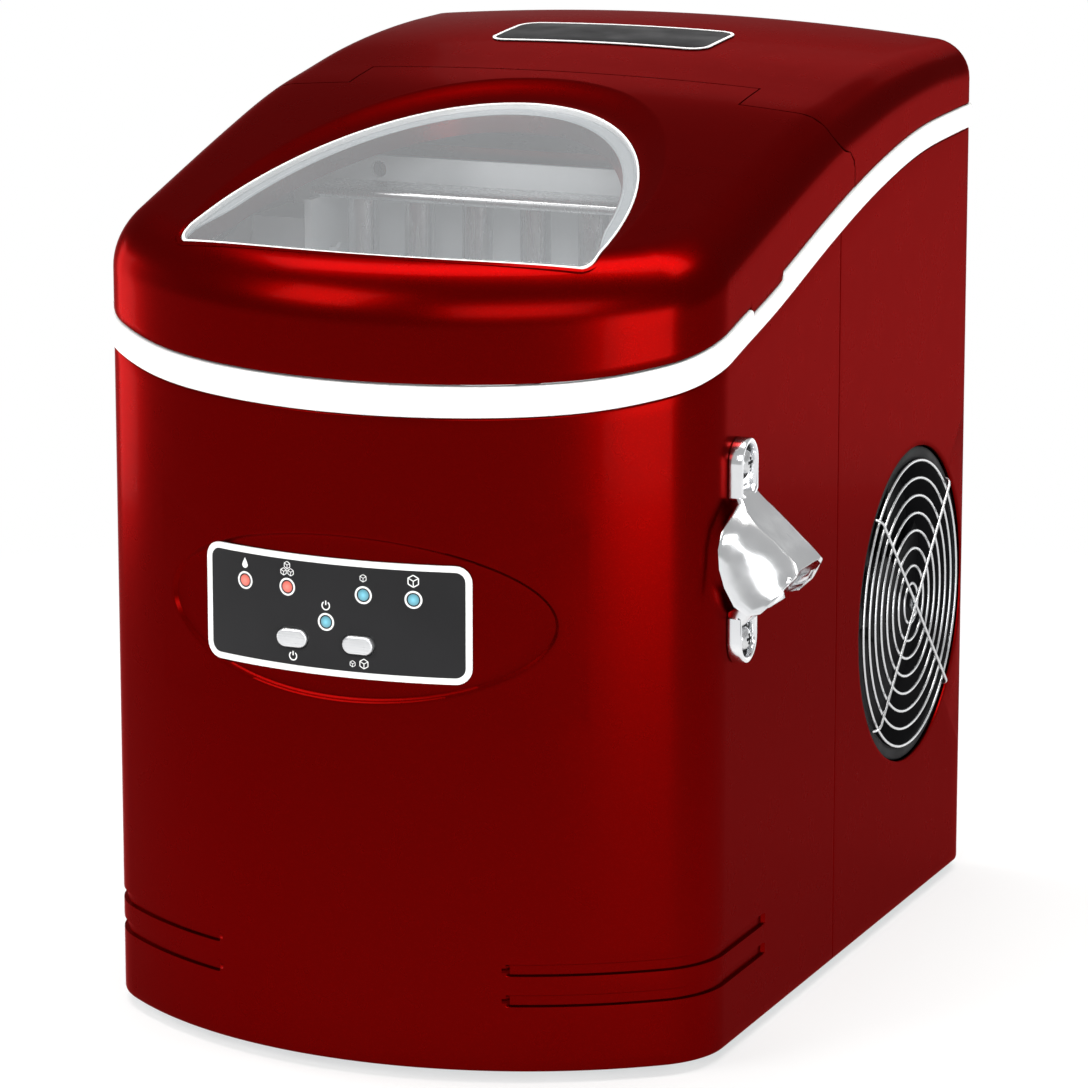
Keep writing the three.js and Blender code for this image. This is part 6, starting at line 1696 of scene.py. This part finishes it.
class MakeOpener(bpy.types.Operator):
    """Chromed bottle opener with its two screws"""
    bl_idname = "ice_maker.make_opener"
    bl_label = "Bottle opener"

    def execute(self, context):
        casing = Casing(context.scene)
        o = casing.opener
        wall = casing.side_x + 0.3
        shape = Shape()
        self.hood(shape, o, wall)
        arm = ((0, 0.05), (0.09, 0.07), (0.17, 0.1), (0.24, 0.15), (0.3, 0.19), (0.42, 0.215),
               (0.55, 0.22), (0.52, 0.28), (0.38, 0.28), (0.24, 0.27), (0.16, 0.24), (0.1, 0.2),
               (0, 0.17))
        half = o.lug - 0.6
        shape.slab([(wall + a * o.reach, o.y - half, o.low + b * o.spacing) for a, b in arm],
                   (0, 2 * half, 0))
        bmesh.ops.recalc_face_normals(shape.bm, faces=shape.bm.faces)
        shape.soften(0.6, 40, 2)
        for z, tip in ((o.low + o.spacing, o.low + o.spacing * 0.82), (o.low, o.low + 9)):
            self.lug(shape, o, wall, z, tip)
        shape.piece("opener_casting", "casing", "chrome", ["bottle_opener"], 40)
        self.screws(o, wall)
        return {"FINISHED"}

    def lug(self, shape, o, wall, z, tip):
        """Screw lug with a round end, a raised rim and a sunk seat."""
        sign = math.copysign(1, z - tip)
        loops = []
        for radius, high in ((9, 0), (9, 4.0), (8.7, 4.7), (8.1, 5), (7.5, 5), (6.9, 4.7),
                             (6.6, 4.0), (6.4, 2.2)):
            inset = o.lug - radius
            points = [(wall + high, o.y + radius * math.cos(a), z + sign * radius * math.sin(a))
                      for a in (math.pi * i / 20 for i in range(21))]
            points += [(wall + high, o.y + radius * math.cos(a),
                        tip + sign * inset - sign * 3 * (1 - math.cos(a) ** 2))
                       for a in (math.pi * (1 - i / 10) for i in range(11))]
            # the lower lug's loops run the other way round, or their bridges twist
            loops.append(shape.ring(points[::round(sign)]))
        for a, b in zip(loops, loops[1:]):
            bmesh.ops.bridge_loops(shape.bm, edges=a + b)
        for end in (loops[0], loops[-1]):
            bmesh.ops.contextual_create(shape.bm, geom=end)
        bmesh.ops.recalc_face_normals(shape.bm, faces=shape.bm.faces)

    def hood(self, shape, o, wall):
        """Faceted hood: a flat top from the neck to the lip and two curved cheeks."""
        # reach and height shares and half width of the crease, then of the cheek's rim
        rows = ((0.03, 0.87, 7.6, 0.02, 0.85, 8.2), (0.12, 0.845, 7.4, 0.09, 0.825, 8.2),
                (0.2, 0.80, 8.2, 0.13, 0.79, 10), (0.27, 0.76, 9.6, 0.09, 0.73, 15.5),
                (0.36, 0.72, 10.8, 0.05, 0.66, 20), (0.46, 0.68, 11, 0.03, 0.57, 21.8),
                (0.56, 0.64, 11, 0.05, 0.46, 22), (0.66, 0.60, 11, 0.12, 0.36, 22),
                (0.76, 0.56, 11, 0.25, 0.26, 22), (0.84, 0.53, 11, 0.42, 0.21, 22),
                (0.91, 0.50, 11, 0.60, 0.23, 21.6), (0.96, 0.48, 11, 0.77, 0.30, 20),
                (1, 0.46, 11, 0.93, 0.41, 16))
        edges = None
        for cx, cz, ch, rx, rz, rh in rows:
            crease = Vector((wall + cx * o.reach, ch, o.low + cz * o.spacing))
            rim = Vector((wall + rx * o.reach, rh, o.low + rz * o.spacing))
            swell = (rim - crease).length * 0.12
            half = [crease - Vector((0, ch - k, 0)) for k in (0, ch - 0.9, ch)]
            for t in (0.06, 0.18, 0.34, 0.5, 0.7, 0.88, 1):
                out = Vector((0.5, 0.75, 0.1)) * swell * 4 * t * (1 - t)
                half.append(crease.lerp(rim, t) + out)
            line = [Vector((v.x, -v.y, v.z)) for v in reversed(half[1:])] + half
            line = [(v.x, o.y + v.y, v.z) for v in line]
            if edges is None:
                # a point's foot holds its number in the line
                last = shape.point(*line[0])
                last[shape.foot] = (0, 0, 0)
                for i, place in enumerate(line[1:], 1):
                    last = shape.step(last, place)
                    last[shape.foot] = (i, 0, 0)
                edges = shape.bm.edges[:]
            else:
                edges = shape.rise(edges, lambda foot, out, line=line: Vector(
                    line[round(foot.x)]))
        shape.wall(1.7, Vector((1, 0, 0.3)))

    def screws(self, o, wall):
        """Domed screws; the black cross and the black ring round each head are painted shade of the
        cross recess and of the sunk seat.
        """
        for name, z in (("lower", o.low), ("upper", o.low + o.spacing)):
            shape = Shape()
            face = wall + 2.9
            shape.turned([(0, -8), (2, -8), (2, -0.6), (4.3, -0.6), (4.3, 0.3), (3.7, 1.2),
                          (2.5, 1.9), (0.9, 2.2), (0, 2.2)], "X", (face, o.y, z), 32)
            shape.piece("screw_" + name, "casing", "steel", ["opener_screw_" + name])
            # painted shade: a black ring on the lug's seat round the head and a black cross on the
            # dome stand for the shade in the seat and in the cross recess
            shape = Shape()
            shape.turned([(4.35, -0.6), (6.35, -0.6), (6.3, -0.35), (4.6, -0.3), (4.35, -0.6)],
                         "X", (face, o.y, z), 32)
            for turn in (0, 1):
                wide, tall = (0.55, 2.0) if turn else (2.0, 0.55)
                made = bmesh.ops.create_cube(shape.bm, size=1)["verts"]
                bmesh.ops.scale(shape.bm, vec=(0.3, 2 * wide, 2 * tall), verts=made)
                bmesh.ops.translate(shape.bm, vec=(face + 2.1, o.y, z), verts=made)
            shape.soften(0.06, 50)
            shape.piece("screw_painted_shade_" + name, "casing", "black_matte")


class MakeFan(bpy.types.Operator):
    """Fan duct, rotor and wire guard"""
    bl_idname = "ice_maker.make_fan"
    bl_label = "Fan and guard"

    def execute(self, context):
        casing = Casing(context.scene)
        fan = casing.fan
        outer = casing.side_x - 2.8
        inner = outer - 32
        face = casing.side_x - 1.25
        at = (0, fan.y, fan.z)
        shape = Shape()
        shape.turned([
            (fan.duct, inner), (fan.duct, face - 2.2), (fan.duct + 0.6, face - 0.5),
            (fan.duct + 1.6, face), (fan.hole - 1.2, face), (fan.hole - 0.4, face - 0.4),
            (fan.hole - 0.3, outer), (fan.duct + 2.5, outer), (fan.duct + 2.5, inner),
            (fan.duct, inner),
        ], "X", at, 96)
        shape.turned([(0, inner), (17.5, inner), (17.5, inner + 2.5), (0, inner + 2.5)],
                     "X", at, 40)
        for i in range(4):
            a = (i + 0.5) * math.pi / 2
            made = bmesh.ops.create_cube(shape.bm, size=1)["verts"]
            bmesh.ops.scale(shape.bm, vec=(2.5, 42, 7.5), verts=made)
            bmesh.ops.translate(shape.bm, vec=(inner + 1.25, 37.5, 0), verts=made)
            bmesh.ops.rotate(shape.bm, cent=(0, 0, 0), matrix=Matrix.Rotation(a, 3, "X"),
                             verts=made)
            bmesh.ops.translate(shape.bm, vec=at, verts=made)
        shape.piece("duct_ring", "casing", "black_matte", ["fan_duct"])
        self.rotor(casing, inner)
        self.guard(casing, face)
        return {"FINISHED"}

    def rotor(self, casing, inner):
        """Hub with a domed cap and twisted blades."""
        fan = casing.fan
        spider, clear, motor, half_hub = 2.5, 0.3, 12, 4.5
        start = inner + spider + clear + motor + clear
        middle = start + half_hub
        shape = Shape()
        for k in range(fan.blades):
            turn = k / fan.blades * FULL_TURN
            made = bmesh.ops.create_grid(shape.bm, x_segments=10, y_segments=8, size=1)["verts"]
            for v in made:
                u, t = (v.co.x + 1) / 2, v.co.y
                radius = blend(fan.hub - 0.8, fan.tip, u)
                half = blend(0.245, 0.453, u) * fan.tip
                pitch = blend(0.8, 0.5, u)
                round_off = 1 - 0.12 * abs(t) ** 4 * u
                side = half * t
                r = math.sqrt(max((radius * round_off) ** 2 - side**2, 1))
                x = middle + half_hub * pitch * t * 1.2 - 0.9 * (1 - t * t)
                c, s = math.cos(turn), math.sin(turn)
                v.co = (x, fan.y + r * c - side * s, fan.z + r * s + side * c)
        for f in shape.bm.faces:
            f.normal_update()
        bmesh.ops.solidify(shape.bm, geom=shape.bm.faces[:], thickness=0.9)
        shape.turned([
            (0, start), (fan.hub - 1, start), (fan.hub, start + 0.8), (fan.hub, start + 6.4),
            (fan.hub - 0.8, start + 7.8), (fan.hub - 3, start + 8.7), (fan.hub * 0.4, start + 9),
            (0, start + 9)], "X", (0, fan.y, fan.z), 48)
        shape.piece("fan_rotor", "fan", "black_matte", ["fan_blades"])

    def guard(self, casing, face):
        """Concentric wire rings on two crossed wires."""
        fan = casing.fan
        wire = fan.wire
        shape = Shape()
        smallest = 8
        pitch = (fan.duct - smallest) / (fan.rings - 1)
        x = face + wire + 0.3
        for i in range(fan.rings):
            radius = smallest + i * pitch
            made = bmesh.ops.create_circle(
                shape.bm, cap_ends=False, segments=10, radius=wire,
                matrix=Matrix.Translation((x, fan.y + radius, fan.z)))["verts"]
            edges = list({e for v in made for e in v.link_edges})
            bmesh.ops.spin(shape.bm, geom=made + edges, cent=(x, fan.y, fan.z), axis=(1, 0, 0),
                           angle=FULL_TURN, steps=48 + 8 * i, use_merge=True)
        shape.weld()
        reach = (fan.duct + fan.hole) / 2
        for side in (-1, 1):
            c, s = math.cos(math.pi / 4), side * math.sin(math.pi / 4)
            run = [(-reach, 0.4), (-reach + 0.6, 1.8), (-reach + 1.6, 2.7), (-reach + 3, 3.0),
                   (0, 3.0), (reach - 3, 3.0), (reach - 1.6, 2.7), (reach - 0.6, 1.8),
                   (reach, 0.4)]
            shape.pipe([(face + h, fan.y + d * c, fan.z + d * s) for d, h in run], wire, 10)
        made = bmesh.ops.create_circle(
            shape.bm, cap_ends=True, segments=24, radius=3.2,
            matrix=Matrix.Translation((face + 1.6, fan.y, fan.z))
            @ Matrix.Rotation(math.pi / 2, 4, "Y"))["verts"]
        grown = bmesh.ops.extrude_face_region(
            shape.bm, geom=list({f for v in made for f in v.link_faces}))["geom"]
        bmesh.ops.translate(shape.bm, vec=(0.8, 0, 0), verts=verts_in(grown))
        bmesh.ops.recalc_face_normals(shape.bm, faces=shape.bm.faces)
        shape.piece("guard_wires", "casing", "steel", ["fan_guard"], 50)


class MakeSmallParts(bpy.types.Operator):
    """Feet, drain stopper and cord bushing"""
    bl_idname = "ice_maker.make_small_parts"
    bl_label = "Feet, stopper and bushing"

    def execute(self, context):
        casing = Casing(context.scene)
        for node in ("foot_front_left", "foot_front_right", "foot_rear_left", "foot_rear_right"):
            low, high = box_millimetres(node)
            x, y = (low.x + high.x) / 2, (low.y + high.y) / 2
            shape = Shape()
            shape.turned([(0, 0.4), (5, 0.4), (5.5, 0), (8.3, 0), (8.9, 0.3), (9.9, 2.2),
                          (9.9, 4), (0, 4)], "Z", (x, y, 0), 36)
            shape.piece(node.replace("foot", "pad"), "casing", "rubber", [node])
        x = -casing.side_x - 0.3
        shape = Shape()
        shape.turned([
            (0, -3), (3.2, -3), (3.8, -2.4), (7.6, -2.4), (8.2, -3), (10.2, -3), (10.9, -2.3),
            (10.9, -0.5), (10.4, 0), (5, 0), (5, 3), (4.4, 3.4), (5, 3.8), (5, 11), (4.2, 12.4),
            (0, 12.4)], "X", (x, *DRAIN), 48)
        shape.piece("drain_stopper", "plug", "rubber", ["drain_plug"])
        x, z = GLAND
        shape = Shape()
        shape.turned([
            (3.5, -7.3), (6.8, -7.3), (6.8, 0.3), (9.2, 0.3), (9.2, 1.6), (8.2, 2.3), (6.9, 2.5),
            (6.7, 3.3), (6.1, 3.4), (6.0, 4.2), (5.6, 4.3), (5.5, 4.9), (3.5, 4.9), (3.5, -7.3),
        ], "Y", (x, casing.back_y, z), 40)
        shape.piece("cord_bushing", "casing", "rubber", ["cord_gland"])
        return {"FINISHED"}


class MakeEvaporator(bpy.types.Operator):
    """Evaporator plate with its freezing fingers"""
    bl_idname = "ice_maker.make_evaporator"
    bl_label = "Evaporator"

    def execute(self, context):
        low, high = box_millimetres("evaporator")
        tray_low, tray_high = box_millimetres("water_tray")
        axis_y = (tray_low.y + tray_high.y) / 2
        plate_z = 298
        shape = Shape()
        made = bmesh.ops.create_cube(shape.bm, size=1)["verts"]
        bmesh.ops.scale(shape.bm, vec=(high.x - low.x, 25.6, 3.6), verts=made)
        bmesh.ops.translate(shape.bm, vec=((low.x + high.x) / 2, axis_y, plate_z + 2), verts=made)
        shape.soften(1.2, 30, 3)
        reach = (tray_high.x - tray_low.x) / 2 - 8
        fingers = 6
        pitch = 2 * reach * 0.174
        for i in range(fingers):
            shape.turned([(0, 0), (2.6, 0.5), (4.6, 2.2), (5.7, 5), (5.9, 9), (5.9, 36.5),
                          (0, 36.5)], "Z",
                         ((i - (fingers - 1) / 2) * pitch, axis_y, plate_z - 36), 28)
        shape.piece("evaporator_plate", "casing", "steel", ["evaporator"], 40)
        return {"FINISHED"}


class FinishCadNodes(bpy.types.Operator):
    """Gives the carried-over solids the finish of their material slot"""
    bl_idname = "ice_maker.finish_cad_nodes"
    bl_label = "Finishes of the inner parts"

    def execute(self, context):
        for part in frame["record"]["subparts"]:
            node = frame["nodes"][part["node"]]
            for slot in node.material_slots:
                slot.material = material(part["material_slot"])
            if not node.material_slots:
                node.data.materials.append(material(part["material_slot"]))
        return {"FINISHED"}


class IceMakerPanel(bpy.types.Panel):
    """Lists the operators in the order in which they run"""
    bl_idname = "VIEW3D_PT_ice_maker"
    bl_label = "Ice maker"
    bl_space_type = "VIEW_3D"
    bl_region_type = "UI"
    bl_category = "Ice maker"

    def draw(self, context):
        for operator in OPERATORS:
            self.layout.operator(operator.bl_idname, text=operator.bl_label)


GROUPS = (
    ("casing_sizes", CasingSizes), ("lid_sizes", LidSizes), ("panel_sizes", PanelSizes),
    ("opener_sizes", OpenerSizes), ("fan_sizes", FanSizes), ("finish_colours", Colours),
)
OPERATORS = (
    MakeStage, MakeFrontShell, MakeRearShell, MakeBand, MakeLid, MakeWindow, MakeRearCover,
    MakeBadge, MakePanel, MakeLights, MakeButtons, MakeOpener, MakeFan, MakeSmallParts,
    MakeEvaporator, FinishCadNodes,
)


def register():
    for name, group in GROUPS:
        bpy.utils.register_class(group)
        setattr(bpy.types.Scene, name, PointerProperty(type=group))
    for operator in OPERATORS:
        bpy.utils.register_class(operator)
    bpy.utils.register_class(IceMakerPanel)


def unregister():
    bpy.utils.unregister_class(IceMakerPanel)
    for operator in reversed(OPERATORS):
        bpy.utils.unregister_class(operator)
    for name, group in reversed(GROUPS):
        delattr(bpy.types.Scene, name)
        bpy.utils.unregister_class(group)


def main():
    register()
    for operator in OPERATORS:
        group, name = operator.bl_idname.split(".")
        getattr(getattr(bpy.ops, group), name)()


if __name__ == "__main__":
    main()
